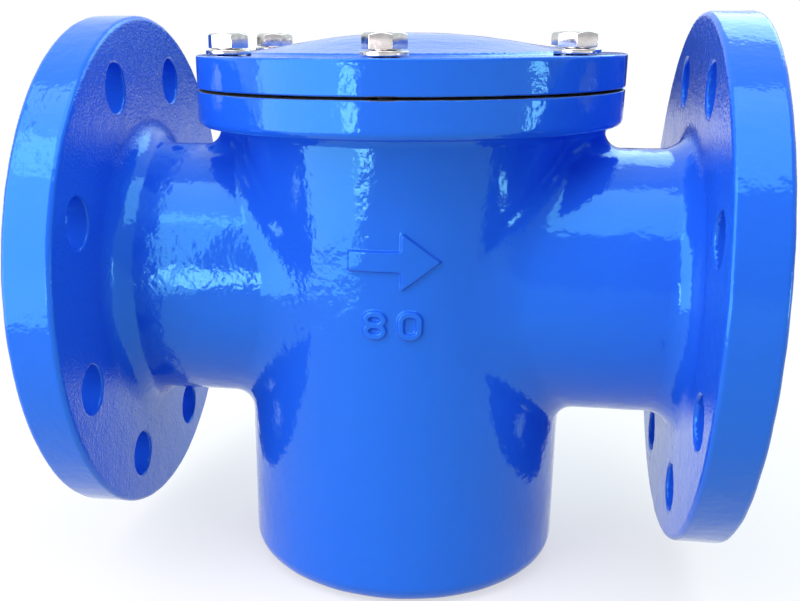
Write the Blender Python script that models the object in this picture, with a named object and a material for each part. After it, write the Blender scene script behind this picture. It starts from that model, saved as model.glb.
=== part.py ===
"""Flanged basket strainer, nominal bore 80 mm: one casting with a slanted inner web, a domed cover
on six bolts, and a slant-top perforated basket that lifts out. Metres, +Z up.

The origin is the centre of the foot. X runs along the pipe: the inlet is at -X, the outlet at +X.
"""

import math

import bmesh
import bpy
from mathutils import Matrix, Vector

# Pipe ends
AXIS_HEIGHT = 0.117
FACE_TO_FACE = 0.254
PIPE_BORE_RADIUS = 0.040
NECK_WALL = 0.011
PIPE_FLANGE_RADIUS = 0.100
PIPE_FLANGE_THICKNESS = 0.0185
PIPE_FLANGE_EDGE = 0.002
RAISED_FACE_HEIGHT = 0.002
RAISED_FACE_MARGIN = 0.005
NECK_FLANGE_FILLET = 0.010
NECK_BARREL_FILLET = 0.007
PIPE_BOLT_COUNT = 8
PIPE_BOLT_EDGE = 0.020
PIPE_BOLT_HOLE_RADIUS = 0.009

# Barrel and its chamber
BARREL_RADIUS = 0.0637
BARREL_WALL = 0.0097
BASE_THICKNESS = 0.010
BASE_CORNER = 0.008
CHAMBER_CORNER = 0.005

# Flange of the body under the cover. Its top stands this far above the necks.
BODY_TOP_RISE = 0.0217
BODY_FLANGE_THICKNESS = 0.0127
BODY_FLANGE_LOWER_EDGE = 0.003
FLANGE_EDGE = 0.001
UNDER_FLANGE_FILLET = 0.004
SHOULDER_SWELL = 0.0113
SHOULDER_HALF_ANGLE = math.radians(26)

# Cover, gasket and cover bolts (M8 hexagon bolts, 25 mm long)
COVER_THICKNESS = 0.0115
DOME_MARGIN = 0.0096
DOME_HEIGHT = 0.0076
COVER_RECESS_MARGIN = 0.004
COVER_RECESS_DEPTH = 0.006
GASKET_THICKNESS = 0.0008
GASKET_INNER_MARGIN = 0.0015
GASKET_WIDTH = 0.010
BOLT_COUNT = 6
BOLT_BARREL_CLEARANCE = 0.0069
BOLT_EDGE = 0.01025
BOLT_START = math.radians(-90)
BOLT_TURNS = [math.radians(a) for a in (10, 24, 4, 17, 28, 21)]
BOLT_PITCH_RADIUS = 0.0036
BOLT_LENGTH = 0.025
BOLT_END_CHAMFER = 0.0008
HEAD_ACROSS_FLATS = 0.013
HEAD_HEIGHT = 0.0053
HEAD_CHAMFER_INSET = 0.00025
HEAD_CHAMFER_ANGLE = math.radians(30)
COVER_HOLE_RADIUS = 0.0045
WASHER_RADIUS = 0.008
WASHER_BORE_RADIUS = 0.0042
WASHER_THICKNESS = 0.0016
WASHER_EDGE = 0.0003

# Slanted web of the casting, which holds the basket. Its thickness is measured vertically.
WEB_THICKNESS = 0.009
WEB_MARGIN = 0.001
WEB_HOLE_CLEARANCE = 0.0015

# Basket. Its screen stands this far inside the chamber wall.
SCREEN_INSET = 0.014
SCREEN_THICKNESS = 0.0015
BASKET_FLOOR_CLEARANCE = 0.008
BASKET_RIM_CLEARANCE = 0.004
RIM_THICKNESS = 0.003
SCREEN_COLUMNS = 18
SCREEN_ROW_PITCH = 0.0135
SCREEN_HOLE_RADIUS = 0.0044
SCREEN_BORDER = 0.005
BOTTOM_THICKNESS = 0.0015
BOTTOM_HOLE_PITCH = 0.0130
SEAM_ANGLE = math.radians(90)
SEAM_WIDTH = 0.008
SEAM_THICKNESS = 0.0012

# Bail of the basket and its ears
BAIL_WIRE_RADIUS = 0.0015
BAIL_OVERREACH = 0.005
BAIL_BEND = 0.003
BAIL_STUB = 0.0025
EAR_HEIGHT = 0.006
EAR_WIDTH = 0.010
EAR_THICKNESS = 0.002
EAR_HOLE_CLEARANCE = 0.0004
EAR_INSET = 0.004

# Pieces that touch keep this much between their meshes
SEAT_GAP = 0.0003

# Cutters run this far past the metal that they cut
OVERCUT = 0.010

# Facets
BARREL_SEGMENTS = 42
BRANCH_SEGMENTS = 36
HOLE_SEGMENTS = 12
FASTENER_SEGMENTS = 12
BASKET_SEGMENTS = 2 * SCREEN_COLUMNS
CORNER_STEPS = 3
EDGE_STEPS = 2
DOME_STEPS = 5
SHOULDER_STEPS = 8
BAIL_STEPS = 9
SMOOTH_ANGLE = math.radians(35)

# Places worked out from the sizes above
NECK_RADIUS = PIPE_BORE_RADIUS + NECK_WALL
PIPE_BOLT_CIRCLE = PIPE_FLANGE_RADIUS - PIPE_BOLT_EDGE
RAISED_FACE_RADIUS = PIPE_BOLT_CIRCLE - PIPE_BOLT_HOLE_RADIUS - RAISED_FACE_MARGIN
CHAMBER_RADIUS = BARREL_RADIUS - BARREL_WALL
SHOULDER_RADIUS = BARREL_RADIUS + SHOULDER_SWELL
BOLT_CIRCLE = BARREL_RADIUS + BOLT_BARREL_CLEARANCE
COVER_RADIUS = BOLT_CIRCLE + BOLT_EDGE
DOME_RADIUS = BOLT_CIRCLE - DOME_MARGIN
COVER_RECESS_RADIUS = CHAMBER_RADIUS - COVER_RECESS_MARGIN
BODY_TOP = AXIS_HEIGHT + NECK_RADIUS + BODY_TOP_RISE
BODY_FLANGE_UNDERSIDE = BODY_TOP - BODY_FLANGE_THICKNESS
COVER_BOTTOM = BODY_TOP + GASKET_THICKNESS + 2 * SEAT_GAP
COVER_TOP = COVER_BOTTOM + COVER_THICKNESS
HEAD_SEAT = COVER_TOP + WASHER_THICKNESS + 2 * SEAT_GAP
FLANGE_FRONT = FACE_TO_FACE / 2 - RAISED_FACE_HEIGHT
FLANGE_BACK = FLANGE_FRONT - PIPE_FLANGE_THICKNESS

SLOPE = (2 * (PIPE_BORE_RADIUS + WEB_MARGIN) + WEB_THICKNESS) / (2 * CHAMBER_RADIUS)
SLANT = math.atan(SLOPE)
WEB_TOP = AXIS_HEIGHT + WEB_THICKNESS / 2
SCREEN_RADIUS = CHAMBER_RADIUS - SCREEN_INSET
SCREEN_BORE = SCREEN_RADIUS - SCREEN_THICKNESS
RIM_RADIUS = CHAMBER_RADIUS - BASKET_RIM_CLEARANCE
RIM_BOTTOM = WEB_TOP + SEAT_GAP / math.cos(SLANT)
RIM_TOP = RIM_BOTTOM + RIM_THICKNESS / math.cos(SLANT)
SCREEN_TOP = RIM_BOTTOM - SEAT_GAP / math.cos(SLANT)
BASKET_BOTTOM = BASE_THICKNESS + BASKET_FLOOR_CLEARANCE

BAIL_PIVOT_HEIGHT = RIM_TOP + EAR_HEIGHT
EAR_INNER = RIM_RADIUS - EAR_INSET - EAR_THICKNESS
BAIL_LEG = EAR_INNER - BAIL_BEND
BAIL_REACH = RIM_RADIUS + BAIL_OVERREACH
BAIL_DIP = math.asin((EAR_HEIGHT * math.cos(SLANT) - BAIL_WIRE_RADIUS - SEAT_GAP) / BAIL_REACH)
BAIL_REST_ANGLE = SLANT + BAIL_DIP


def clear_scene():
    for item in list(bpy.data.objects):
        bpy.data.objects.remove(item)


def make_material(name, colour, roughness, metallic):
    material = bpy.data.materials.new(name)
    material.use_nodes = True
    shader = material.node_tree.nodes["Principled BSDF"]
    shader.inputs["Base Color"].default_value = (*colour, 1)
    shader.inputs["Roughness"].default_value = roughness
    shader.inputs["Metallic"].default_value = metallic
    return material


def make_object(name, shape):
    """A mesh object from a bmesh, with its faces turned outwards. The bmesh is freed."""
    bmesh.ops.recalc_face_normals(shape, faces=shape.faces[:])
    mesh = bpy.data.meshes.new(name)
    shape.to_mesh(mesh)
    shape.free()
    item = bpy.data.objects.new(name, mesh)
    bpy.context.scene.collection.objects.link(item)
    return item


def dress(item, material, origin=(0, 0, 0)):
    """Give the object its material, smooth shading and an origin on its own axis."""
    origin = Vector(origin)
    item.data.materials.clear()
    item.data.materials.append(material)
    item.data.transform(Matrix.Translation(-origin))
    item.location = origin
    item.data.shade_smooth()
    item.data.set_sharp_from_angle(angle=SMOOTH_ANGLE)
    return item


def combine(target, tool, operation):
    """Join, cut or trim the target with the tool, and remove the tool."""
    step = target.modifiers.new(operation, "BOOLEAN")
    step.operation = operation
    step.solver = "EXACT"
    step.object = tool
    graph = bpy.context.evaluated_depsgraph_get()
    result = bpy.data.meshes.new_from_object(target.evaluated_get(graph))
    target.modifiers.remove(step)
    target.data = result
    bpy.data.objects.remove(tool)


def arc(centre_a, centre_b, radius, start, end, steps):
    """Points of an arc in a plane, from one angle to another in degrees, both ends included."""
    angles = [math.radians(start + (end - start) * k / steps) for k in range(steps + 1)]
    return [(centre_a + radius * math.cos(a), centre_b + radius * math.sin(a)) for a in angles]


def skin(shape, rings, closed):
    """Faces between neighbouring rings of vertices. A ring of one vertex is a pole."""
    pairs = list(zip(rings, rings[1:]))
    if closed:
        pairs.append((rings[-1], rings[0]))
    for low, high in pairs:
        count = max(len(low), len(high))
        for k in range(count):
            corners = [low[k % len(low)], low[(k + 1) % len(low)]]
            corners += [high[(k + 1) % len(high)], high[k % len(high)]]
            face = list(dict.fromkeys(corners))
            if len(face) > 2:
                shape.faces.new(face)


def circle(radius, segments, start=0.0):
    angles = [start + 2 * math.pi * k / segments for k in range(segments)]
    return [(radius * math.cos(a), radius * math.sin(a)) for a in angles]


def lathe(name, profile, segments):
    """Turn a closed outline of (radius, height) points about Z.

    An outline that starts or ends on the axis has a pole there, or one flat face if it is level.
    """
    shape = bmesh.new()
    rings = []
    for radius, height in profile:
        spots = circle(radius, segments) if radius else [(0, 0)]
        rings.append([shape.verts.new((x, y, height)) for x, y in spots])
    touches_axis = len(rings[0]) == 1
    if touches_axis:
        rings = level_end(shape, level_end(shape, rings)[::-1])[::-1]
    skin(shape, rings, closed=not touches_axis)
    return make_object(name, shape)


def level_end(shape, rings):
    """Where the first ring is a pole level with the next ring, close that ring with one face."""
    pole, ring = rings[0][0], rings[1]
    if pole.co.z != ring[0].co.z:
        return rings
    shape.verts.remove(pole)
    shape.faces.new(ring)
    return rings[1:]


def rod(name, radius, low, high, segments=HOLE_SEGMENTS):
    """A plain cylinder about Z. Its facets lie outside the radius, so a hole is full size."""
    half_facet = math.pi / segments
    return prism(name, circle(radius / math.cos(half_facet), segments, half_facet), low, high)


def prism(name, outline, low, high):
    """Extrude a closed outline of (x, y) points along Z."""
    shape = bmesh.new()
    floor = [shape.verts.new((x, y, low)) for x, y in outline]
    roof = [shape.verts.new((x, y, high)) for x, y in outline]
    shape.faces.new(list(reversed(floor)))
    shape.faces.new(roof)
    skin(shape, [floor, roof], closed=False)
    return make_object(name, shape)


def slanted_ring(name, inner, outer, low, high, segments=BASKET_SEGMENTS):
    """A ring between two slanted planes, round in plan. The heights are those on the Z axis."""
    shape = bmesh.new()
    rings = []
    for radius, height in ((inner, low), (outer, low), (outer, high), (inner, high)):
        ring = []
        for k in range(segments):
            a = 2 * math.pi * k / segments
            x = radius * math.cos(a)
            ring.append(shape.verts.new((x, radius * math.sin(a), height + SLOPE * x)))
        rings.append(ring)
    skin(shape, rings, closed=True)
    return make_object(name, shape)


def on_circle(radius, count, start):
    for k in range(count):
        a = start + 2 * math.pi * k / count
        yield radius * math.cos(a), radius * math.sin(a)


def place(item, matrix):
    item.data.transform(matrix)
    return item


def drill(target, drills):
    """Cut a set of holes in one step. The drills stand clear of each other."""
    shape = bmesh.new()
    for tool in drills:
        shape.from_mesh(tool.data)
        bpy.data.objects.remove(tool)
    combine(target, make_object("drills", shape), "DIFFERENCE")


def to_pipe_axis(side):
    """Turn a shape made about Z so that its +Z points out of the pipe end on this side."""
    turn = Matrix.Rotation(side * math.pi / 2, 4, "Y")
    return Matrix.Translation((0, 0, AXIS_HEIGHT)) @ turn


def barrel_profile():
    edge = BODY_FLANGE_LOWER_EDGE
    under = BODY_FLANGE_UNDERSIDE
    fillet = UNDER_FLANGE_FILLET
    points = [(0, 0)]
    points += arc(BARREL_RADIUS - BASE_CORNER, BASE_CORNER, BASE_CORNER, -90, 0, CORNER_STEPS)
    points += arc(BARREL_RADIUS + fillet, under - fillet, fillet, 180, 90, CORNER_STEPS)
    points += arc(COVER_RADIUS - edge, under + edge, edge, -90, 0, CORNER_STEPS)
    points += arc(COVER_RADIUS - FLANGE_EDGE, BODY_TOP - FLANGE_EDGE, FLANGE_EDGE, 0, 90, 1)
    return points + [(0, BODY_TOP)]


def make_barrel():
    return lathe("barrel", barrel_profile(), BARREL_SEGMENTS)


def rolled_fillet(angle, step):
    """A point of the fillet that a ball rolls between the neck and the barrel.

    The angle goes round the neck, and the step goes from 0 on the neck to 1 on the barrel. The
    ball stands a little into the barrel, so that the two shapes cross there.
    """
    ball = NECK_BARREL_FILLET
    barrel = BARREL_RADIUS - SEAT_GAP
    y = (NECK_RADIUS + ball) * math.cos(angle)
    z = (NECK_RADIUS + ball) * math.sin(angle)
    x = math.sqrt((barrel + ball) ** 2 - y**2)
    centre = Vector((x, y, z))
    to_neck = Vector((0, -math.cos(angle), -math.sin(angle)))
    to_barrel = Vector((-x, -y, 0)).normalized()
    spread = to_neck.angle(to_barrel)
    a = spread * (1 - step)
    b = spread * step
    return centre + ball * (to_neck * math.sin(a) + to_barrel * math.sin(b)) / math.sin(spread)


def pipe_flange_profile():
    """(distance along the pipe, radius) from the raised face back to the start of the neck."""
    edge = PIPE_FLANGE_EDGE
    fillet = NECK_FLANGE_FILLET
    points = [(FACE_TO_FACE / 2, RAISED_FACE_RADIUS), (FLANGE_FRONT, RAISED_FACE_RADIUS)]
    points += arc(FLANGE_FRONT - edge, PIPE_FLANGE_RADIUS - edge, edge, 0, 90, EDGE_STEPS)
    points += arc(FLANGE_BACK + edge, PIPE_FLANGE_RADIUS - edge, edge, 90, 180, EDGE_STEPS)
    points += arc(FLANGE_BACK - fillet, NECK_RADIUS + fillet, fillet, 0, -90, CORNER_STEPS)
    return points


def branch_root(ring):
    """The end of the neck near the axis of the barrel, where the chamber is cut out later."""
    shrink = CHAMBER_RADIUS / BARREL_RADIUS
    return [Vector((BARREL_WALL, shrink * point.y, shrink * point.z)) for point in ring]


def make_branch(side):
    """One neck with its pipe flange, ending in a fillet that dips into the barrel."""
    shape = bmesh.new()
    angles = [2 * math.pi * k / BRANCH_SEGMENTS for k in range(BRANCH_SEGMENTS)]
    rings = []
    for x, radius in pipe_flange_profile():
        rings.append([Vector((x, radius * math.cos(a), radius * math.sin(a))) for a in angles])
    for k in range(CORNER_STEPS + 1):
        rings.append([rolled_fillet(a, k / CORNER_STEPS) for a in angles])
    rings.append(branch_root(rings[-1]))
    rings = [[(p.x * side, p.y * side, p.z + AXIS_HEIGHT) for p in ring] for ring in rings]
    placed = [[shape.verts.new(place) for place in ring] for ring in rings]
    skin(shape, placed, closed=False)
    shape.faces.new(placed[0])
    shape.faces.new(placed[-1])
    return make_object("branch", shape)


def make_shoulder(side):
    """Metal that fills the narrow gap between the neck and the flange above it."""
    shape = bmesh.new()
    sink = UNDER_FLANGE_FILLET / 2
    low = AXIS_HEIGHT + NECK_RADIUS * math.cos(SHOULDER_HALF_ANGLE) - NECK_BARREL_FILLET
    high = BODY_FLANGE_UNDERSIDE + sink
    columns = []
    for k in range(SHOULDER_STEPS + 1):
        t = 2 * k / SHOULDER_STEPS - 1
        swell = math.cos(math.pi / 2 * t) ** 2
        outer = BARREL_RADIUS - sink + (SHOULDER_RADIUS - BARREL_RADIUS + sink) * swell
        inner = CHAMBER_RADIUS + sink
        a = SHOULDER_HALF_ANGLE * t
        corners = ((inner, low), (outer, low), (outer, high), (inner, high))
        columns.append([
            shape.verts.new((side * r * math.cos(a), side * r * math.sin(a), z)) for r, z in corners
        ])
    skin(shape, columns, closed=False)
    shape.faces.new(columns[0])
    shape.faces.new(columns[-1])
    return make_object("shoulder", shape)


def make_void():
    """The space inside the casting: chamber and through bore, parted by the slanted web."""
    corner = CHAMBER_CORNER
    above = BODY_TOP + OVERCUT
    profile = [(0, BASE_THICKNESS)]
    profile += arc(CHAMBER_RADIUS - corner, BASE_THICKNESS + corner, corner, -90, 0, CORNER_STEPS)
    profile += [(CHAMBER_RADIUS, above), (0, above)]
    void = lathe("void", profile, BARREL_SEGMENTS)
    reach = FACE_TO_FACE / 2 + OVERCUT
    bore = rod("bore", PIPE_BORE_RADIUS, -reach, reach, BRANCH_SEGMENTS)
    combine(void, place(bore, to_pipe_axis(1)), "UNION")
    into_wall = CHAMBER_RADIUS + WEB_MARGIN
    hole = SCREEN_RADIUS + WEB_HOLE_CLEARANCE
    web = slanted_ring("web", hole, into_wall, WEB_TOP - WEB_THICKNESS, WEB_TOP, BARREL_SEGMENTS)
    combine(void, web, "DIFFERENCE")
    return void


def make_pipe_bolt_holes():
    """Holes of both pipe flanges, which straddle the vertical centre line."""
    half_step = math.pi / PIPE_BOLT_COUNT
    low = FLANGE_BACK - OVERCUT
    high = FLANGE_FRONT + OVERCUT
    for side in (-1, 1):
        for across, along in on_circle(PIPE_BOLT_CIRCLE, PIPE_BOLT_COUNT, half_step):
            hole = rod("pipe_bolt_hole", PIPE_BOLT_HOLE_RADIUS, low, high)
            yield place(hole, to_pipe_axis(side) @ Matrix.Translation((across, along, 0)))


def make_cover_bolt_holes(radius, low):
    for x, y in on_circle(BOLT_CIRCLE, BOLT_COUNT, BOLT_START):
        hole = rod("cover_bolt_hole", radius, low, COVER_TOP + OVERCUT)
        yield place(hole, Matrix.Translation((x, y, 0)))


def make_body_casting(paint):
    body = make_barrel()
    for side in (-1, 1):
        combine(body, make_branch(side), "UNION")
        combine(body, make_shoulder(side), "UNION")
    combine(body, make_void(), "DIFFERENCE")
    drill(body, make_pipe_bolt_holes())
    low = BODY_FLANGE_UNDERSIDE - UNDER_FLANGE_FILLET
    drill(body, make_cover_bolt_holes(BOLT_PITCH_RADIUS + SEAT_GAP, low))
    body.name = "body_casting"
    return dress(body, paint)


def cover_profile():
    """Domed plate with rounded edges, dished inside to keep an even wall."""
    edge = FLANGE_EDGE
    points = [(0, COVER_BOTTOM + COVER_RECESS_DEPTH)]
    points.append((COVER_RECESS_RADIUS - COVER_RECESS_DEPTH, COVER_BOTTOM + COVER_RECESS_DEPTH))
    points.append((COVER_RECESS_RADIUS, COVER_BOTTOM))
    points += arc(COVER_RADIUS - edge, COVER_BOTTOM + edge, edge, -90, 0, 1)
    points += arc(COVER_RADIUS - edge, COVER_TOP - edge, edge, 0, 90, 1)
    ball = (DOME_RADIUS**2 + DOME_HEIGHT**2) / (2 * DOME_HEIGHT)
    for k in range(DOME_STEPS):
        radius = DOME_RADIUS * (1 - k / DOME_STEPS)
        rise = math.sqrt(ball**2 - radius**2) - (ball - DOME_HEIGHT)
        points.append((radius, COVER_TOP + rise))
    return points + [(0, COVER_TOP + DOME_HEIGHT)]


def make_cover(paint):
    cover = lathe("cover", cover_profile(), BARREL_SEGMENTS)
    drill(cover, make_cover_bolt_holes(COVER_HOLE_RADIUS, COVER_BOTTOM - OVERCUT))
    return dress(cover, paint, (0, 0, COVER_BOTTOM))


def make_gasket(rubber):
    inner = CHAMBER_RADIUS + GASKET_INNER_MARGIN
    outer = inner + GASKET_WIDTH
    low = BODY_TOP + SEAT_GAP
    high = low + GASKET_THICKNESS
    profile = [(inner, low), (outer, low), (outer, high), (inner, high)]
    return dress(lathe("cover_gasket", profile, BARREL_SEGMENTS), rubber, (0, 0, BODY_TOP))


def make_bolt_shape():
    """A hexagon bolt with its under-head face at height 0 and its shank below."""
    bolt = prism("bolt", circle(HEAD_ACROSS_FLATS / math.sqrt(3), 6), 0, HEAD_HEIGHT)
    top = HEAD_ACROSS_FLATS / 2 - HEAD_CHAMFER_INSET
    wide = HEAD_ACROSS_FLATS
    shoulder = HEAD_HEIGHT - (wide - top) * math.tan(HEAD_CHAMFER_ANGLE)
    cone = [(0, -OVERCUT), (wide, -OVERCUT), (wide, shoulder), (top, HEAD_HEIGHT), (0, HEAD_HEIGHT)]
    combine(bolt, lathe("chamfer", cone, 2 * FASTENER_SEGMENTS), "INTERSECT")
    tip = BOLT_PITCH_RADIUS - BOLT_END_CHAMFER
    shank = [(0, -BOLT_LENGTH), (tip, -BOLT_LENGTH)]
    shank += [(BOLT_PITCH_RADIUS, -BOLT_LENGTH + BOLT_END_CHAMFER)]
    shank += [(BOLT_PITCH_RADIUS, HEAD_HEIGHT / 2), (0, HEAD_HEIGHT / 2)]
    combine(bolt, lathe("shank", shank, FASTENER_SEGMENTS), "UNION")
    return bolt


def washer_profile():
    low = COVER_TOP + SEAT_GAP
    high = low + WASHER_THICKNESS
    rim = WASHER_RADIUS - WASHER_EDGE
    points = [(WASHER_BORE_RADIUS, low), (rim, low), (WASHER_RADIUS, low + WASHER_EDGE)]
    points += [(WASHER_RADIUS, high - WASHER_EDGE), (rim, high), (WASHER_BORE_RADIUS, high)]
    return points


def make_cover_bolts(steel, cover):
    """Each bolt and its washer, with their origins on the bolt's axis, held by the cover."""
    pattern = make_bolt_shape()
    for k, (x, y) in enumerate(on_circle(BOLT_CIRCLE, BOLT_COUNT, BOLT_START)):
        washer = lathe(f"cover_washer_{k + 1}", washer_profile(), FASTENER_SEGMENTS)
        dress(washer, steel, (0, 0, COVER_TOP))
        washer.location = (x, y, COVER_TOP)
        hold(washer, cover)
        bolt = bpy.data.objects.new(f"cover_bolt_{k + 1}", pattern.data.copy())
        bpy.context.scene.collection.objects.link(bolt)
        dress(bolt, steel)
        bolt.location = (x, y, HEAD_SEAT)
        bolt.rotation_euler = (0, 0, BOLT_TURNS[k])
        hold(bolt, washer)
    bpy.data.objects.remove(pattern)


def screen_top(x):
    return SCREEN_TOP + SLOPE * x


def ladder(shape, left, right):
    """Triangles between two upright chains of vertices, from their feet to their heads."""
    i = 0
    j = 0
    while i + 1 < len(left) or j + 1 < len(right):
        left_next = left[i + 1].co.z if i + 1 < len(left) else math.inf
        right_next = right[j + 1].co.z if j + 1 < len(right) else math.inf
        if left_next <= right_next:
            shape.faces.new((left[i], right[j], left[i + 1]))
            i += 1
        else:
            shape.faces.new((left[i], right[j], right[j + 1]))
            j += 1


class ScreenSheet:
    """Vertices and rows of the perforated sheet, laid out by column edge and half row."""

    def __init__(self, shape):
        self.shape = shape
        self.rows = [self.row_count(column) for column in range(SCREEN_COLUMNS)]
        self.edges = {}
        for radius in (SCREEN_RADIUS, SCREEN_BORE):
            self.edges[radius] = [self.edge_chain(edge, radius) for edge in range(SCREEN_COLUMNS)]

    def angle(self, column):
        """The angle of a place counted in columns. The seam lies in the middle of column 0."""
        return SEAM_ANGLE + 2 * math.pi * (column - 0.5) / SCREEN_COLUMNS

    def height(self, half_rows):
        return BASKET_BOTTOM + SCREEN_BORDER + half_rows * SCREEN_ROW_PITCH / 2

    def vertex(self, column, height, radius):
        a = self.angle(column)
        return self.shape.verts.new((radius * math.cos(a), radius * math.sin(a), height))

    def row_count(self, column):
        """How many holes fit in a column, below the slanted top. The seam has none."""
        if column == 0:
            return 0
        sides = [SCREEN_RADIUS * math.cos(self.angle(c)) for c in (column, column + 1)]
        room = screen_top(min(sides)) - SCREEN_BORDER - self.height(column % 2)
        return max(0, int(room / SCREEN_ROW_PITCH))

    def top_half_row(self, column):
        return column % 2 + 2 * self.rows[column]

    def edge_chain(self, edge, radius):
        """The upright line of vertices between a column and the one before it."""
        highest = max(self.top_half_row(edge), self.top_half_row(edge - 1 if edge else SCREEN_COLUMNS - 1))
        heights = [BASKET_BOTTOM] + [self.height(k) for k in range(highest + 1)]
        heights.append(screen_top(radius * math.cos(self.angle(edge))))
        return [self.vertex(edge, height, radius) for height in heights]

    def hole_ring(self, column, row, radius):
        """Six corners of a hole, from its right-hand corner round."""
        centre = self.height(column % 2 + 2 * row + 1)
        width = SCREEN_HOLE_RADIUS * SCREEN_COLUMNS / (2 * math.pi * SCREEN_RADIUS)
        ring = []
        for k in range(6):
            a = math.pi / 3 * k
            across = column + 0.5 + width * math.cos(a)
            ring.append(self.vertex(across, centre + SCREEN_HOLE_RADIUS * math.sin(a), radius))
        return ring

    def fill_column(self, column, radius):
        """One face of one column, with its holes left open. It returns the rings of the holes."""
        left = self.edges[radius][column]
        right = self.edges[radius][(column + 1) % SCREEN_COLUMNS]
        first = 1 + column % 2
        last = 1 + self.top_half_row(column)
        rings = []
        if not self.rows[column]:
            ladder(self.shape, left, right)
            return rings
        ladder(self.shape, left[: first + 1], right[: first + 1])
        for row in range(self.rows[column]):
            k = first + 2 * row
            ring = self.hole_ring(column, row, radius)
            around = [right[k + 1], right[k + 2], left[k + 2], left[k + 1], left[k], right[k]]
            skin(self.shape, [around, ring], closed=False)
            rings.append(ring)
        ladder(self.shape, left[last:], right[last:])
        return rings


def make_basket_screen(steel):
    """Perforated sheet rolled to a tube, its top cut on the slant of the web."""
    shape = bmesh.new()
    sheet = ScreenSheet(shape)
    for column in range(SCREEN_COLUMNS):
        outer = sheet.fill_column(column, SCREEN_RADIUS)
        inner = sheet.fill_column(column, SCREEN_BORE)
        for pair in zip(outer, inner):
            skin(shape, pair, closed=False)
    for end in (0, -1):
        outer = [chain[end] for chain in sheet.edges[SCREEN_RADIUS]]
        inner = [chain[end] for chain in sheet.edges[SCREEN_BORE]]
        skin(shape, [outer, inner], closed=False)
    return dress(make_object("basket_screen", shape), steel)


def make_basket_rim(steel):
    rim = slanted_ring("basket_rim", SCREEN_BORE, RIM_RADIUS, RIM_BOTTOM, RIM_TOP)
    return dress(rim, steel)


def make_basket_bottom(steel):
    """Disc inside the foot of the screen, with rings of holes. Its facets match the screen's."""
    half_column = math.pi / SCREEN_COLUMNS
    radius = SCREEN_BORE - SEAT_GAP / math.cos(half_column)
    outline = circle(radius, SCREEN_COLUMNS, SEAM_ANGLE - half_column)
    plate = prism("basket_bottom", outline, BASKET_BOTTOM, BASKET_BOTTOM + BOTTOM_THICKNESS)
    low = BASKET_BOTTOM - BOTTOM_THICKNESS
    high = BASKET_BOTTOM + 2 * BOTTOM_THICKNESS
    rings = int((SCREEN_BORE - SCREEN_HOLE_RADIUS - SCREEN_THICKNESS) / BOTTOM_HOLE_PITCH)
    holes = []
    for ring in range(rings + 1):
        for x, y in on_circle(ring * BOTTOM_HOLE_PITCH, max(1, 6 * ring), 0):
            hole = prism("bottom_hole", circle(SCREEN_HOLE_RADIUS, 6), low, high)
            holes.append(place(hole, Matrix.Translation((x, y, 0))))
    drill(plate, holes)
    return dress(plate, steel)


def make_seam_strip(steel):
    """Flat strip that closes the seam of the rolled sheet from inside, along column 0."""
    shape = bmesh.new()
    outer = SCREEN_BORE * math.cos(math.pi / SCREEN_COLUMNS) - SEAT_GAP
    inner = outer - SEAM_THICKNESS
    low = BASKET_BOTTOM + BOTTOM_THICKNESS + SEAT_GAP
    turn = Matrix.Rotation(SEAM_ANGLE, 3, "Z")
    columns = []
    for across in (-SEAM_WIDTH / 2, SEAM_WIDTH / 2):
        ring = []
        for distance, at_top in ((inner, False), (outer, False), (outer, True), (inner, True)):
            spot = turn @ Vector((distance, across, low))
            spot.z = screen_top(spot.x) if at_top else low
            ring.append(shape.verts.new(spot))
        columns.append(ring)
    skin(shape, columns, closed=False)
    shape.faces.new(columns[0])
    shape.faces.new(columns[-1])
    return dress(make_object("basket_seam_strip", shape), steel)


def make_bail_ear(name, side, steel):
    """Lug on the rim with a round head, bored for the end of the bail. It stands across Y."""
    half = EAR_WIDTH / 2
    foot = RIM_TOP - BAIL_PIVOT_HEIGHT + SEAT_GAP / math.cos(SLANT)
    outline = [(-half, foot - SLOPE * half), (half, foot + SLOPE * half)]
    outline += arc(0, 0, half, 0, 180, 8)
    ear = prism(name, outline, 0, EAR_THICKNESS)
    bore = BAIL_WIRE_RADIUS + EAR_HOLE_CLEARANCE
    combine(ear, rod("ear_hole", bore, -EAR_THICKNESS, 2 * EAR_THICKNESS), "DIFFERENCE")
    stand = Matrix.Rotation(math.pi / 2, 4, "X")
    start = EAR_INNER + EAR_THICKNESS if side > 0 else -EAR_INNER
    place(ear, Matrix.Translation((0, start, BAIL_PIVOT_HEIGHT)) @ stand)
    return dress(ear, steel)


def bail_route():
    """(reach, across) points of half of the bail, from its stub through the ear to the crown."""
    stub = EAR_INNER + EAR_THICKNESS + BAIL_STUB
    corner = arc(BAIL_BEND, BAIL_LEG + BAIL_BEND, BAIL_BEND, 180, 270, 3)
    points = [(0, stub)] + corner
    for k in range(1, BAIL_STEPS + 1):
        t = math.pi / 2 * k / BAIL_STEPS
        reach = BAIL_BEND + (BAIL_REACH - BAIL_BEND) * math.sin(t)
        points.append((reach, BAIL_LEG * math.cos(t)))
    return points


def make_bail(steel):
    """Wire handle. Its origin is on its pivot, and at rest it lies on the low side of the rim."""
    half = bail_route()
    route = half + [(reach, -across) for reach, across in reversed(half[:-1])]
    curve = bpy.data.curves.new("basket_bail", "CURVE")
    curve.dimensions = "3D"
    curve.bevel_depth = BAIL_WIRE_RADIUS
    curve.bevel_resolution = 2
    curve.use_fill_caps = True
    line = curve.splines.new("POLY")
    line.points.add(len(route) - 1)
    for point, (reach, across) in zip(line.points, route):
        x = -reach * math.cos(BAIL_REST_ANGLE)
        z = -reach * math.sin(BAIL_REST_ANGLE)
        point.co = (x, across, z, 1)
    bail = bpy.data.objects.new("basket_bail", curve)
    bpy.context.scene.collection.objects.link(bail)
    bail.location = (0, 0, BAIL_PIVOT_HEIGHT)
    curve.materials.append(steel)
    return bail


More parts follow.
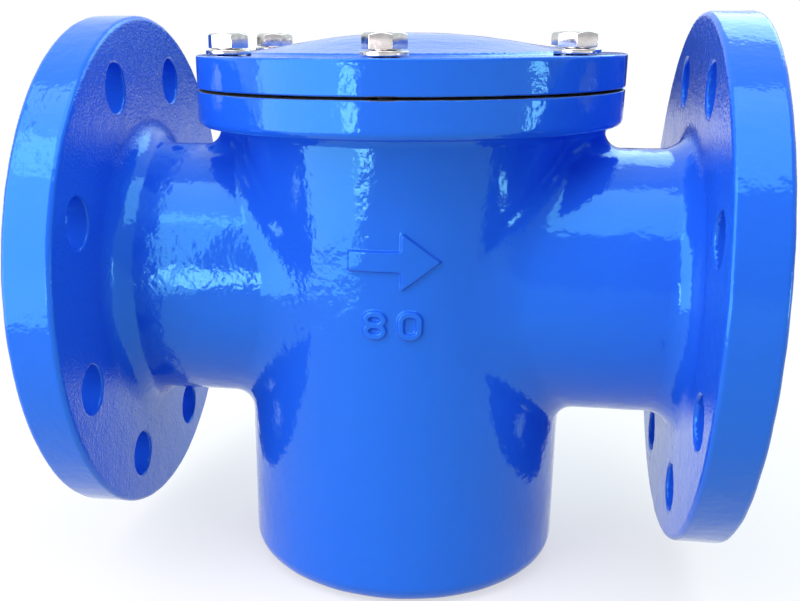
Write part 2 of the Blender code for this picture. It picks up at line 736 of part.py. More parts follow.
def hold(item, parent):
    """Parent the object and keep its place in the world."""
    bpy.context.view_layer.update()
    item.parent = parent
    item.matrix_parent_inverse = parent.matrix_world.inverted()


def make_basket(steel):
    """Every basket piece hangs on one empty, whose Z axis is the way the basket lifts out."""
    lift = bpy.data.objects.new("basket_lift", None)
    lift.location = (0, 0, WEB_TOP)
    bpy.context.scene.collection.objects.link(lift)
    pieces = [make_basket_screen(steel), make_basket_rim(steel), make_basket_bottom(steel)]
    pieces += [make_seam_strip(steel), make_bail(steel)]
    pieces += [make_bail_ear("bail_ear_back", 1, steel), make_bail_ear("bail_ear_front", -1, steel)]
    for piece in pieces:
        hold(piece, lift)


def main():
    clear_scene()
    paint = make_material("blue_epoxy_paint", (0.02, 0.15, 0.80), 0.18, 0.0)
    steel = make_material("stainless_steel", (0.72, 0.71, 0.69), 0.25, 1.0)
    basket_steel = make_material("basket_steel", (0.62, 0.62, 0.61), 0.35, 1.0)
    rubber = make_material("gasket_rubber", (0.02, 0.02, 0.02), 0.7, 0.0)
    make_body_casting(paint)
    cover = make_cover(paint)
    make_gasket(rubber)
    make_cover_bolts(steel, cover)
    make_basket(basket_steel)


main()
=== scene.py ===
"""Looks of the flanged basket strainer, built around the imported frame. Metres, +Z up.

The casting, the cover and the raised marks are skinned from distance formulas, so that every
corner is as round as a painted casting's. X runs along the pipe, and the outlet is at +X.
"""

import math

import bmesh
import bpy
import numpy as np
from mathutils import Matrix, Vector


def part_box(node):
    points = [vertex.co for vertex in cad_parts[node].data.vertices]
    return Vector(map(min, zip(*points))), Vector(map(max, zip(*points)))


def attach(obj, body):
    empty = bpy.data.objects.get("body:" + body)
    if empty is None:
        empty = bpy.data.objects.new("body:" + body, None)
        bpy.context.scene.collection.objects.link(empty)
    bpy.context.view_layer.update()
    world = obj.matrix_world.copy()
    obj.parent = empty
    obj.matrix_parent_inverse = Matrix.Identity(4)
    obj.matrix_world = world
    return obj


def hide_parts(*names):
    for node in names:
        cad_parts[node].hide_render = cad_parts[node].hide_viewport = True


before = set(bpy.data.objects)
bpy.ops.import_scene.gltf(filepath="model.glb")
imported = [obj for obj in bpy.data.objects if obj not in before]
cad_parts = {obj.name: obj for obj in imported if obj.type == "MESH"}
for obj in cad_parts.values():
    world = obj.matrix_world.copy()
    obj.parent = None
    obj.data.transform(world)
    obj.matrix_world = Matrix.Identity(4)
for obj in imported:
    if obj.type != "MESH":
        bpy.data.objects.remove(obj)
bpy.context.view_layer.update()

# Sizes read from the frame
BODY_LOW, BODY_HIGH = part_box("body_casting")
COVER_LOW, COVER_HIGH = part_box("cover")
GASKET_LOW, GASKET_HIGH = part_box("cover_gasket")
BOLT_LOW, BOLT_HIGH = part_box("cover_bolt_1")
WASHER_LOW, WASHER_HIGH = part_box("cover_washer_1")
FACE = BODY_HIGH.x
PIPE_FLANGE_RADIUS = BODY_HIGH.y
PIPE_AXIS = BODY_HIGH.z - PIPE_FLANGE_RADIUS
COVER_RADIUS = COVER_HIGH.x
COVER_BOTTOM = GASKET_HIGH.z
DOME_TOP = COVER_HIGH.z

# Casting: the sizes of the solids, with rounded edges and with its top on the gasket
PIPE_BORE = 0.040
NECK_RADIUS = 0.051
RAISED_FACE_HEIGHT = 0.002
FLANGE_THICKNESS = 0.0185
FLANGE_FRONT = FACE - RAISED_FACE_HEIGHT
FLANGE_BACK = FLANGE_FRONT - FLANGE_THICKNESS
FLANGE_CORNER = 0.002
RAISED_FACE_RADIUS = 0.066
RAISED_FACE_CORNER = 0.0004
NECK_FLANGE_FILLET = 0.010
NECK_BARREL_FILLET = 0.007
PIPE_BOLTS = 8
PIPE_BOLT_CIRCLE = 0.080
PIPE_BOLT_HOLE = 0.009
BARREL_RADIUS = 0.0637
BASE_CORNER = 0.008
BODY_TOP = GASKET_LOW.z
BODY_FLANGE_RISE = 0.060
BODY_FLANGE_UNDERSIDE = PIPE_AXIS + BODY_FLANGE_RISE
UNDER_FLANGE_FILLET = 0.004
LOWER_CORNER = 0.003
UPPER_CORNER = 0.0005
SHOULDER_AXIS = 0.0567
SHOULDER_RADIUS = 0.0183
SHOULDER_FILLET = 0.005
CHAMBER_RADIUS = 0.054
CHAMBER_CORNER = 0.005
BASE_THICKNESS = 0.010
WEB_THICKNESS = 0.009
WEB_HOLE = 0.0415
WEB_EDGE = 0.0015
WEB_MARGIN = 0.001
CAST_FILLET = 0.003
MOUTH_EDGE = 0.0008
HOLE_EDGE = 0.0009
SLOPE = (2 * (PIPE_BORE + WEB_MARGIN) + WEB_THICKNESS) / (2 * CHAMBER_RADIUS)

# Unevenness of the cast skin
WAVE_COUNT = 12
WAVE_LENGTHS = (0.009, 0.013, 0.019)
WAVE_DEPTH = 0.00008
GOLDEN_ANGLE = math.pi * (3 - math.sqrt(5))

# Cover, the holes for its bolts, and the gasket under it
COVER_THICKNESS = 0.0115
COVER_TOP = COVER_LOW.z + COVER_THICKNESS
COVER_CORNER = 0.0009
COVER_LOWER_CORNER = 0.0005
DOME_RADIUS = 0.061
DOME_FILLET = 0.004
RECESS_RADIUS = 0.050
RECESS_DEPTH = 0.006
COVER_BOLTS = 6
COVER_BOLT_CIRCLE = 0.0706
COVER_BOLT_HOLE = 0.0045
TAPPED_HOLE = 0.0041
TAPPED_EDGE = 0.0004
GASKET_INSET = 0.0015
GASKET_EDGE = 0.0001

# Hexagon bolts M8 and their washers. BOLT_TURNS is each bolt's turn in degrees, and HEAD_SECTOR is
# where the spots of a sixth of a head lie, in degrees from its corner
BOLT_TURNS = (56.6, 26.7, 4, 17, 7, 56)
BOLT_LENGTH = 0.025
HEAD_SEAT = BOLT_LOW.z + BOLT_LENGTH
HEAD_HEIGHT = BOLT_HIGH.z - HEAD_SEAT
HEAD_FLAT = 0.0065
HEAD_TOP = 0.00625
HEAD_CORNER = 0.00025
HEAD_SECTOR = (-20, -10, -3.2, -1, -0.5, 0, 0.5, 1, 3.2, 10, 20, 30)
HEAD_EDGE = 0.0002
BEARING_RADIUS = 0.0060
BEARING_RISE = 0.0003
THREAD_PITCH = 0.00125
THREAD_CREST = 0.00396
THREAD_ROOT = 0.00325
THREAD_ROWS = 6
THREAD_START = 0.0012
THREAD_STEEPNESS = 1.25
BOLT_TIP = 0.0031
WASHER_RADIUS = (WASHER_HIGH.x - WASHER_LOW.x) / 2
WASHER_BORE = 0.0042
WASHER_EDGE = 0.00035

# Sealing faces of the pipe flanges, with concentric grooves
SEAL_HEIGHT = 0.0008
SEAL_INNER = 0.0412
GROOVES = 27
GROOVE_START = 0.0430
GROOVE_PITCH = 0.0008
GROOVE_DEPTH = 0.00015

# Basket. SOLID_COLUMNS is how many flat facets the solid of the screen has round it
SEAT_GAP = 0.0003
SLANT = math.atan(SLOPE)
WEB_TOP = PIPE_AXIS + WEB_THICKNESS / 2
RIM_BOTTOM = WEB_TOP + SEAT_GAP / math.cos(SLANT)
RIM_THICKNESS = 0.003
RIM_TOP = RIM_BOTTOM + RIM_THICKNESS / math.cos(SLANT)
RIM_RADIUS = 0.050
RIM_EDGE = 0.0006
SCREEN_RADIUS = 0.040
SCREEN_BORE = 0.0385
SHEET_THICKNESS = 0.0012
SCREEN_FOOT = 0.018
SCREEN_COLUMNS = 54
SCREEN_ROW = 0.0040
SCREEN_HOLE = 0.00155
SEAM_ANGLE = math.pi / 2
SEAM_MARGIN = 1.5
PLAIN_ROWS = 1
SCREEN_MARGIN = 0.003
HOLE_SIDES = 12
HOLE_STEP = 2 * math.pi / HOLE_SIDES
BOTTOM_THICKNESS = 0.0015
BOTTOM_PITCH = 0.0047
BOTTOM_RINGS = 7
SEAM_HALF_WIDTH = 0.004
SEAM_THICKNESS = 0.0012
SOLID_COLUMNS = 18
SEAM_FACE = SCREEN_BORE * math.cos(math.pi / SOLID_COLUMNS) - SEAT_GAP - SEAM_THICKNESS
SEAM_FOOT = SCREEN_FOOT + BOTTOM_THICKNESS + SEAT_GAP
EAR_INNER = 0.044
EAR_THICKNESS = 0.002
EAR_HALF = 0.005
EAR_BORE = 0.0019
EAR_EDGE = 0.0004
EAR_SIDES = 48
PIVOT_RISE = 0.006
PIVOT = RIM_TOP + PIVOT_RISE
BAIL_WIRE = 0.0015
BAIL_STUB = 0.0485
BAIL_BEND = 0.003
BAIL_LEG = EAR_INNER - BAIL_BEND
BAIL_OVERREACH = 0.005
BAIL_REACH = RIM_RADIUS + BAIL_OVERREACH
BAIL_ANGLE = SLANT + math.asin((PIVOT_RISE * math.cos(SLANT) - BAIL_WIRE - SEAT_GAP) / BAIL_REACH)
BAIL_BEND_STEPS = 8
BAIL_ARC_STEPS = 26
WIRE_SIDES = 16
WIRE_END = (0, 30, 60, 80)

# Marks cast on the front of the barrel. A mark's middle is a place across and up the skin, and
# its box is how far it may reach from there each way
ARROW_MIDDLE = (0.0028, 0.1352)
ARROW_BOX = (0.018, 0.0125)
ARROW_LENGTH = 0.032
ARROW_HEAD = 0.0135
ARROW_HEAD_HALF = 0.0102
ARROW_SHAFT_HALF = 0.0035
NUMBER_MIDDLE = (0.0024, 0.1125)
NUMBER_BOX = (0.0135, 0.0075)
DIGIT_STEP = 0.0124
DIGIT_HALF_WIDTH = 0.0032
DIGIT_HALF_HEIGHT = 0.0041
DIGIT_CORNER = 0.0026
DIGIT_STROKE = 0.0021
MARK_HEIGHT = 0.0013
MARK_DEPTH = 0.0008
MARK_EDGE = 0.0005
MARK_FILLET = 0.0011
MARK_SINK = 0.0001

# Studio floor and sky
FLOOR_SIZE = 60
FLOOR_GAP = 0.0005
FLOOR_COLOUR = (0.85, 0.85, 0.85)
FLOOR_ROUGHNESS = 0.9
FLOOR_SHADOW_REACH = 0.12
FLOOR_WHITE_FROM = 0.70
FLOOR_LEAST_WHITE = 0.6
FLOOR_BOUNCE = 0.1
WHITE = (1, 1, 1, 1)
SKY_FRONT = (0.60, 0.61, 0.63, 1)
SKY_BACK = (0.86, 0.98, 1.0, 1)
SKY_FRONT_TO = -0.3
SKY_BACK_FROM = 0.5
SKY_WHITE_TO = 0.03
SKY_COLOUR_FROM = 0.14

# Cards that reflections show, between two bearings each
CARD_REACH = 0.75
CARD_LOW = 0.135
CARD_HIGH = 0.25
CARD_POSTS = 24
DARK_CARD_BEARINGS = (58, 150)
DARK_CARD_COLOUR = (0.02, 0.022, 0.03)
GREY_CARD_BEARINGS = (-15, 58)
GREY_CARD_COLOUR = (0.38, 0.38, 0.45)

# Camera, with its yaw, pitch and roll in degrees and its lens in millimetres
CAMERA_PLACE = (0.04535, -0.40368, 0.20932)
CAMERA_TURN = (9.77, -18.511, -0.295)
CAMERA_LENS = 45.6
CAMERA_SHIFT = (0.0643, 0.0922)
CAMERA_NEAREST = 0.01

# Cell sizes of the skins, and the most triangles of one skin
CASTING_CELL = 0.0013
COVER_CELL = 0.0012
MARK_CELL = 0.0004
FINE_CELL = 0.0003
FINE_REACH = 0.0009
GRID_BEFORE = 2.37
GRID_AFTER = 2
GRID_SAMPLES = 20001
LEAST_STEEPNESS = 0.25
MOST_FACES = 185000

# Finish. Each bump is the scale of its noise and its depth
PAINT_COLOUR = (0.013, 0.110, 0.74)
PAINT_ROUGHNESS = 0.10
PAINT_TINT = (0.2, 0.85, 1.0, 1)
PAINT_IOR = 1.7
PAINT_WAVES = (190, 0.0002)
PAINT_PEEL = (430, 0.00009)
CAST_GRAIN = (1000, 0.00030)
CAST_GRAIN_DETAIL = 3.0
IRON_COLOUR = (0.45, 0.44, 0.43)
IRON_ROUGHNESS = 0.45
FLANGE_FACING = (0.7, 0.95)
JOINT_FACING = (0.8, 0.9)
FASTENER_COLOUR = (0.74, 0.71, 0.70)
FASTENER_ROUGHNESS = 0.16
BASKET_COLOUR = (0.62, 0.62, 0.61)
BASKET_ROUGHNESS = 0.3
STEEL_DENTS = (450, 0.000012)
STEEL_GRAIN = (2500, 0.000004)
STEEL_TONE_SCALE = 350
STEEL_DULL_TONE = 0.8
STEEL_SHINE_SCALE = 700
STEEL_SHINE_SPREAD = (-0.05, 0.08)
# Painted shade: the darker colour of the bolts' shanks below the cover's top, in the shaded holes and
# joint gap
PAINTED_SHADE_COLOUR = (0.20, 0.195, 0.19, 1)
RUBBER_COLOUR = (0.012, 0.012, 0.013)
RUBBER_ROUGHNESS = 0.7
RUBBER_PORES = (1800, 0.00003)
RUBBER_WEAR_SCALE = 400
RUBBER_DARK = (0.010, 0.010, 0.011, 1)
RUBBER_WORN = (0.02, 0.02, 0.02, 1)
NOISE_DETAIL = 4.0
NOISE_RANGE = (0.38, 0.66)

# Segments of the turned pieces, the angle from which an edge is sharp, and the most of a side that
# one rounded corner takes
TURNED_SEGMENTS = 120
SMALL_SEGMENTS = 64
SHARP = math.radians(40)
CORNER_SHARE = 0.45


def rod(along, radial, low, high, radius, low_corner=0.0, high_corner=0.0):
    """Distance to a round bar, from places along its axis and from it. Its rims are rounded."""
    offset = along - (low + high) / 2
    corner = np.where(offset > 0, high_corner, low_corner)
    a = np.abs(offset) - (high - low) / 2 + corner
    b = radial - radius + corner
    outside = np.hypot(np.maximum(a, 0), np.maximum(b, 0))
    return outside + np.minimum(np.maximum(a, b), 0) - corner


def join(a, b, fillet):
    """Union of two distances, with a round fillet where they meet."""
    blend = np.hypot(np.maximum(fillet - a, 0), np.maximum(fillet - b, 0))
    return np.maximum(fillet, np.minimum(a, b)) - blend


def keep(a, b, edge):
    """What two distances share, with its edges rounded."""
    blend = np.hypot(np.maximum(edge + a, 0), np.maximum(edge + b, 0))
    return np.minimum(-edge, np.maximum(a, b)) + blend


def cut(a, b, edge):
    """What is left of the first distance without the second, with its edges rounded."""
    return keep(a, -b, edge)


def hole_circle(u, v, count, start, circle, radius):
    """Distance to a ring of equal holes, from the two places across their axes."""
    step = 2 * math.pi / count
    turn = np.arctan2(v, u) - start
    turn = turn - step * np.round(turn / step)
    reach = np.hypot(u, v)
    return np.hypot(reach * np.cos(turn) - circle, reach * np.sin(turn)) - radius


def cast_waves(x, y, z):
    """How far the skin sinks below the plain shape: the slight unevenness of a sand casting."""
    total = np.zeros(np.broadcast(x, y, z).shape)
    for k in range(WAVE_COUNT):
        length = WAVE_LENGTHS[k % len(WAVE_LENGTHS)]
        turn = GOLDEN_ANGLE * k
        rise = 1 - 2 * (k + 0.5) / WAVE_COUNT
        flat = math.sqrt(1 - rise**2)
        along = x * flat * math.cos(turn) + y * flat * math.sin(turn) + z * rise
        total = total + np.sin(2 * math.pi * along / length + turn**2) * length
    size = WAVE_COUNT * sum(WAVE_LENGTHS) / len(WAVE_LENGTHS)
    return WAVE_DEPTH * (1 + 2 * total / size)


def casting_outside(x, y, z):
    """Barrel, shoulders, necks, top flange, pipe flanges and their raised faces, all filled."""
    radial = np.hypot(x, y)
    side = np.abs(x)
    branch = np.hypot(y, z - PIPE_AXIS)
    flange_middle = (FLANGE_BACK + FLANGE_FRONT) / 2
    top_middle = (BODY_TOP + BODY_FLANGE_UNDERSIDE) / 2
    body = rod(z, radial, 0, top_middle, BARREL_RADIUS, BASE_CORNER)
    shoulder = rod(z, np.hypot(side - SHOULDER_AXIS, y), PIPE_AXIS, top_middle, SHOULDER_RADIUS)
    body = join(body, shoulder, SHOULDER_FILLET)
    neck = rod(side, branch, -flange_middle, flange_middle, NECK_RADIUS)
    body = join(body, neck, NECK_BARREL_FILLET)
    top = rod(z, radial, BODY_FLANGE_UNDERSIDE, BODY_TOP, COVER_RADIUS, LOWER_CORNER, UPPER_CORNER)
    body = join(body, top, UNDER_FLANGE_FILLET)
    corner = FLANGE_CORNER
    flange = rod(side, branch, FLANGE_BACK, FLANGE_FRONT, PIPE_FLANGE_RADIUS, corner, corner)
    body = join(body, flange, NECK_FLANGE_FILLET) + cast_waves(x, y, z)
    top = FACE - SEAL_HEIGHT
    raised = rod(side, branch, flange_middle, top, RAISED_FACE_RADIUS, 0, RAISED_FACE_CORNER)
    return np.minimum(body, raised)


def casting_inside(x, y, z):
    """The chamber and the bore, without the slanted web that carries the basket."""
    radial = np.hypot(x, y)
    side = np.abs(x)
    branch = np.hypot(y, z - PIPE_AXIS)
    chamber = rod(z, radial, BASE_THICKNESS, 2 * BODY_TOP, CHAMBER_RADIUS, CHAMBER_CORNER)
    bore = rod(side, branch, -2 * FACE, 2 * FACE, PIPE_BORE)
    space = join(chamber, bore, CAST_FILLET)
    slab = np.abs(z - PIPE_AXIS - SLOPE * x) - WEB_THICKNESS / 2
    slab = slab / math.hypot(1, SLOPE)
    web = keep(slab, WEB_HOLE - radial, WEB_EDGE)
    return cut(space, web, CAST_FILLET)


def casting(x, y, z):
    """The casting with its space, its pipe bolt holes and its tapped holes."""
    side = np.abs(x)
    body = cut(casting_outside(x, y, z), casting_inside(x, y, z), MOUTH_EDGE)
    start = math.pi / PIPE_BOLTS
    holes = hole_circle(y, z - PIPE_AXIS, PIPE_BOLTS, start, PIPE_BOLT_CIRCLE, PIPE_BOLT_HOLE)
    holes = np.maximum(holes, FLANGE_BACK - PIPE_BOLT_HOLE - side)
    body = cut(body, holes, HOLE_EDGE)
    tapped = hole_circle(x, y, COVER_BOLTS, -math.pi / 2, COVER_BOLT_CIRCLE, TAPPED_HOLE)
    tapped = np.maximum(tapped, BODY_FLANGE_UNDERSIDE - TAPPED_HOLE - z)
    return cut(body, tapped, TAPPED_EDGE)


def cover_shape(x, y, z):
    """Round plate with a low dome on it, a recess under it and six bolt holes."""
    radial = np.hypot(x, y)
    plate = rod(z, radial, COVER_BOTTOM, COVER_TOP, COVER_RADIUS, COVER_LOWER_CORNER, COVER_CORNER)
    height = DOME_TOP - COVER_TOP
    ball = (DOME_RADIUS**2 + height**2) / (2 * height)
    dome = np.hypot(radial, z - DOME_TOP + ball) - ball
    dome = np.maximum(dome, np.maximum((COVER_BOTTOM + COVER_TOP) / 2 - z, radial - DOME_RADIUS))
    plate = join(plate, dome, DOME_FILLET) + cast_waves(x, y, z)
    recess = rod(z, radial, -COVER_TOP, COVER_BOTTOM + RECESS_DEPTH, RECESS_RADIUS, 0, RECESS_DEPTH / 2)
    plate = cut(plate, recess, MOUTH_EDGE)
    holes = hole_circle(x, y, COVER_BOLTS, -math.pi / 2, COVER_BOLT_CIRCLE, COVER_BOLT_HOLE)
    return cut(plate, holes, TAPPED_EDGE)


def arrow_outline(across, up):
    """Flat distance to the flow arrow, which points to the outlet."""
    u, v = across - ARROW_MIDDLE[0], np.abs(up - ARROW_MIDDLE[1])
    tip = ARROW_LENGTH / 2
    shaft = rod(u, v, -tip, tip - ARROW_HEAD, ARROW_SHAFT_HALF, MARK_FILLET)
    slant = (u - tip) * ARROW_HEAD_HALF + v * ARROW_HEAD
    slant = slant / math.hypot(ARROW_HEAD, ARROW_HEAD_HALF)
    return join(shaft, keep(tip - ARROW_HEAD - u, slant, MARK_FILLET), MARK_FILLET)


def loop_outline(u, v, half_width, half_height):
    """Flat distance to a stroke bent into a rounded loop."""
    corner = DIGIT_CORNER
    middle = rod(u, np.abs(v), -half_width, half_width, half_height, corner, corner)
    return np.abs(middle) - DIGIT_STROKE / 2


def number_outline(across, up):
    """Flat distance to the figures of the nominal bore, 80."""
    u, v = across - NUMBER_MIDDLE[0], up - NUMBER_MIDDLE[1]
    half = DIGIT_HALF_HEIGHT
    eight = u + DIGIT_STEP / 2
    eight = loop_outline(eight, np.abs(v) - half / 2, DIGIT_HALF_WIDTH, half / 2)
    nought = loop_outline(u - DIGIT_STEP / 2, v, DIGIT_HALF_WIDTH, half)
    return np.minimum(eight, nought)


def raised_mark(outline):
    """The shape of a mark cast on the barrel. Its foot flares into the barrel's skin."""
    def shape(x, y, z):
        over = np.hypot(x, y) - BARREL_RADIUS + cast_waves(x, y, z)
        flat = outline(BARREL_RADIUS * np.arctan2(x, -y), z)
        rise = np.clip((over + MARK_SINK) / MARK_FILLET, 0, 1)
        flare = MARK_FILLET * (1 - np.sqrt(1 - (1 - rise) ** 2))
        mark = keep(flat - flare, over - MARK_HEIGHT, MARK_EDGE)
        return np.maximum(mark, -over - MARK_DEPTH)
    return shape


def make_mark(name, outline, middle, half_width, half_height):
    """Skin a mark inside a box round its middle."""
    reach = (middle[0] - half_width, middle[0] + half_width)
    x = [BARREL_RADIUS * math.sin(s / BARREL_RADIUS) for s in reach]
    near = BARREL_RADIUS * math.cos(max(abs(s) for s in reach) / BARREL_RADIUS) - MARK_DEPTH
    low = (x[0], -BARREL_RADIUS - MARK_HEIGHT, middle[1] - half_height)
    high = (x[1], -near, middle[1] + half_height)
    return skin(name, raised_mark(outline), low, high, MARK_CELL)


def slope_of(shape, spots, step=1e-5):
    """How fast the distance grows at each spot, along each axis."""
    out = np.empty_like(spots)
    for axis in range(3):
        ahead, behind = spots.copy(), spots.copy()
        ahead[:, axis] += step
        behind[:, axis] -= step
        out[:, axis] = shape(*ahead.T) - shape(*behind.T)
    return out / (2 * step)


def crossings(field, cells):
    """The mean place, in cells, where the edges of each cell cross the surface."""
    corners = [np.array((a, b, c)) for a in (0, 1) for b in (0, 1) for c in (0, 1)]
    values = [field[tuple((cells + corner).T)] for corner in corners]
    total = np.zeros(cells.shape)
    count = np.zeros(len(cells))
    for i in range(8):
        for j in range(i + 1, 8):
            if np.abs(corners[i] - corners[j]).sum() != 1:
                continue
            crosses = (values[i] < 0) != (values[j] < 0)
            share = np.where(crosses, values[i] / np.where(crosses, values[i] - values[j], 1), 0)
            spot = corners[i] + share[:, None] * (corners[j] - corners[i])
            total += spot * crosses[:, None]
            count += crosses
    return cells + total / count[:, None]


def quads_of(inside, number):
    """The faces of the skin: one for each grid edge that crosses the surface."""
    quads = []
    for axis in range(3):
        ahead = np.roll(inside, -1, axis)
        edges = np.argwhere(inside != ahead)
        edges = edges[(edges > 0).all(1) & (edges < np.array(inside.shape) - 1).all(1)]
        leaves = inside[tuple(edges.T)]
        first, second = np.zeros(3, int), np.zeros(3, int)
        first[(axis + 1) % 3] = 1
        second[(axis + 2) % 3] = 1
        around = (edges, edges - first, edges - first - second, edges - second)
        ring = np.stack([number[tuple(spot.T)] for spot in around], axis=1)
        quads.append(np.where(leaves[:, None], ring, ring[:, ::-1]))
    return np.concatenate(quads)


def grid_places(low, high, cell, fine_levels):
    """Places of the grid along an axis. They are closer together round each fine level."""
    spots = np.linspace(low - GRID_BEFORE * cell, high + GRID_AFTER * cell, GRID_SAMPLES)
    density = np.full(spots.shape, 1 / cell)
    for level in fine_levels:
        density[np.abs(spots - level) < FINE_REACH] = 1 / FINE_CELL
    count = np.append(0, np.cumsum(density[1:] * np.diff(spots)))
    return np.interp(np.arange(int(count[-1]) + 1), count, spots)


def skin(name, shape, low, high, cell, fine_levels=(), smoothings=3):
    """A closed mesh of quads on the surface where the shape's distance is zero."""
    axes = [grid_places(low[k], high[k], cell, fine_levels if k == 2 else ()) for k in range(3)]
    sizes = np.array([len(axis) for axis in axes])
    field = np.empty(sizes)
    for k in range(sizes[0]):
        field[k] = shape(axes[0][k], *np.meshgrid(axes[1], axes[2], indexing="ij"))
    inside = field < 0
    count = sum(
        inside[a:sizes[0] - 1 + a, b:sizes[1] - 1 + b, c:sizes[2] - 1 + c].astype(np.int8)
        for a in (0, 1) for b in (0, 1) for c in (0, 1)
    )
    cells = np.argwhere((count > 0) & (count < 8))
    number = np.full(sizes, -1)
    number[tuple(cells.T)] = np.arange(len(cells))
    quads = quads_of(inside, number)
    spots = crossings(field, cells)
    for k in range(3):
        spots[:, k] = np.interp(spots[:, k], np.arange(sizes[k]), axes[k])
    starts, ends = quads.ravel(), np.roll(quads, -1, axis=1).ravel()
    for _ in range(smoothings):
        total = np.zeros(spots.shape)
        np.add.at(total, starts, spots[ends])
        np.add.at(total, ends, spots[starts])
        links = np.bincount(starts, minlength=len(spots)) + np.bincount(ends, minlength=len(spots))
        spots = (spots + total / links[:, None]) / 2
        spots = settle(shape, spots)
    item = mesh_object(name, spots, quads)
    if 2 * len(quads) > MOST_FACES:
        apply_step(item, "DECIMATE", ratio=MOST_FACES / (2 * len(quads)))
    polish(item, shape)
    return item


def settle(shape, spots):
    """Move the spots onto the surface."""
    slope = slope_of(shape, spots)
    steepness = np.maximum((slope**2).sum(axis=1), LEAST_STEEPNESS)
    return spots - slope * (shape(*spots.T) / steepness)[:, None]


def polish(item, shape):
    """Put every vertex on the surface, and take the shading from the shape itself."""
    mesh = item.data
    spots = np.empty(3 * len(mesh.vertices))
    mesh.vertices.foreach_get("co", spots)
    spots = settle(shape, settle(shape, spots.reshape(-1, 3)))
    mesh.vertices.foreach_set("co", spots.ravel())
    normals = slope_of(shape, spots)
    normals = normals / np.maximum(np.linalg.norm(normals, axis=1), 1e-12)[:, None]
    mesh.shade_smooth()
    mesh.normals_split_custom_set_from_vertices(normals.tolist())


def linked(name, data):
    """A new object, put into the scene."""
    item = bpy.data.objects.new(name, data)
    bpy.context.scene.collection.objects.link(item)
    return item


def mesh_object(name, spots, faces):
    """A smooth mesh in the scene, from its spots and faces."""
    mesh = bpy.data.meshes.new(name)
    mesh.from_pydata(np.asarray(spots).tolist(), [], [list(face) for face in faces])
    mesh.validate()
    mesh.shade_smooth()
    return linked(name, mesh)


def apply_step(item, kind, **settings):
    """Run one modifier and keep its result as the mesh."""
    step = item.modifiers.new(kind, kind)
    for key, value in settings.items():
        setattr(step, key, value)
    graph = bpy.context.evaluated_depsgraph_get()
    mesh = bpy.data.meshes.new_from_object(item.evaluated_get(graph))
    item.modifiers.remove(step)
    item.data = mesh


def face_outwards(item):
    """Turn all the faces outwards, and keep the sharp edges sharp."""
    shape = bmesh.new()
    shape.from_mesh(item.data)
    bmesh.ops.recalc_face_normals(shape, faces=shape.faces[:])
    shape.to_mesh(item.data)
    shape.free()
    item.data.shade_smooth()
    item.data.set_sharp_from_angle(angle=SHARP)
    return item


def soften(outline, reach, steps=3):
    """Round every corner of a closed flat outline."""
    corners = np.array(outline, dtype=float)
    out = []
    for k in range(len(corners)):
        corner = corners[k]
        ends = []
        for other in (corners[k - 1], corners[(k + 1) % len(corners)]):
            way = other - corner
            length = np.linalg.norm(way)
            ends.append(corner + way / length * min(reach, CORNER_SHARE * length))
        for t in np.linspace(0, 1, steps + 1):
            out.append((1 - t) ** 2 * ends[0] + 2 * t * (1 - t) * corner + t**2 * ends[1])
    return np.array(out)


def lofted(name, rings, closed=False):
    """A mesh through rings of equally many spots. Its open ends are capped."""
    rings = np.array(rings)
    number = np.arange(rings.shape[0] * rings.shape[1]).reshape(rings.shape[:2])
    low, high = number, np.roll(number, -1, axis=0)
    if not closed:
        low, high = low[:-1], high[:-1]
    quads = np.stack([low, np.roll(low, -1, 1), np.roll(high, -1, 1), high], axis=2)
    faces = quads.reshape(-1, 4).tolist()
    if not closed:
        faces += [number[0].tolist(), number[-1].tolist()]
    return face_outwards(mesh_object(name, rings.reshape(-1, 3), faces))


def turned(name, outline, segments, place=(0, 0, 0), shear=0.0):
    """Turn a closed outline of (radius, height) about Z. The shear lifts it towards +X."""
    a = 2 * np.pi * np.arange(segments) / segments
    rings = []
    for radius, height in outline:
        x = radius * np.cos(a)
        rings.append(np.stack([x, radius * np.sin(a), height + shear * x], axis=1))
    return lofted(name, np.array(rings) + np.array(place), closed=True)


def block_outline(inner, outer, low, high, edge):
    """A rectangle with rounded corners."""
    return soften([(inner, low), (outer, low), (outer, high), (inner, high)], edge)


def head_reach(angles):
    """How far the rounded hexagon of the head lies from its axis, at each angle."""
    off = np.abs((angles + np.pi / 6) % (np.pi / 3) - np.pi / 6)
    middle = (HEAD_FLAT - HEAD_CORNER) / math.cos(math.pi / 6)
    bend = math.atan2(HEAD_CORNER / 2, middle + HEAD_CORNER * math.cos(math.pi / 6))
    curve = middle * np.cos(off) + np.sqrt(np.maximum(HEAD_CORNER**2 - (middle * np.sin(off)) ** 2, 0))
    return np.where(off < bend, curve, HEAD_FLAT / np.cos(np.pi / 6 - off))


def thread_reach(angles, height):
    """Radius of the right-hand thread. It starts below the head and is chamfered at the tip."""
    phase = (height / THREAD_PITCH - angles / (2 * np.pi)) % 1
    wave = np.clip(THREAD_STEEPNESS * (4 * np.abs(phase - 0.5) - 1), -1, 1)
    depth = (THREAD_CREST - THREAD_ROOT) * min(max((-height - THREAD_START) / THREAD_PITCH, 0), 1)
    thread = THREAD_CREST - depth * (1 - wave) / 2
    return np.minimum(thread, BOLT_TIP + height + BOLT_LENGTH)


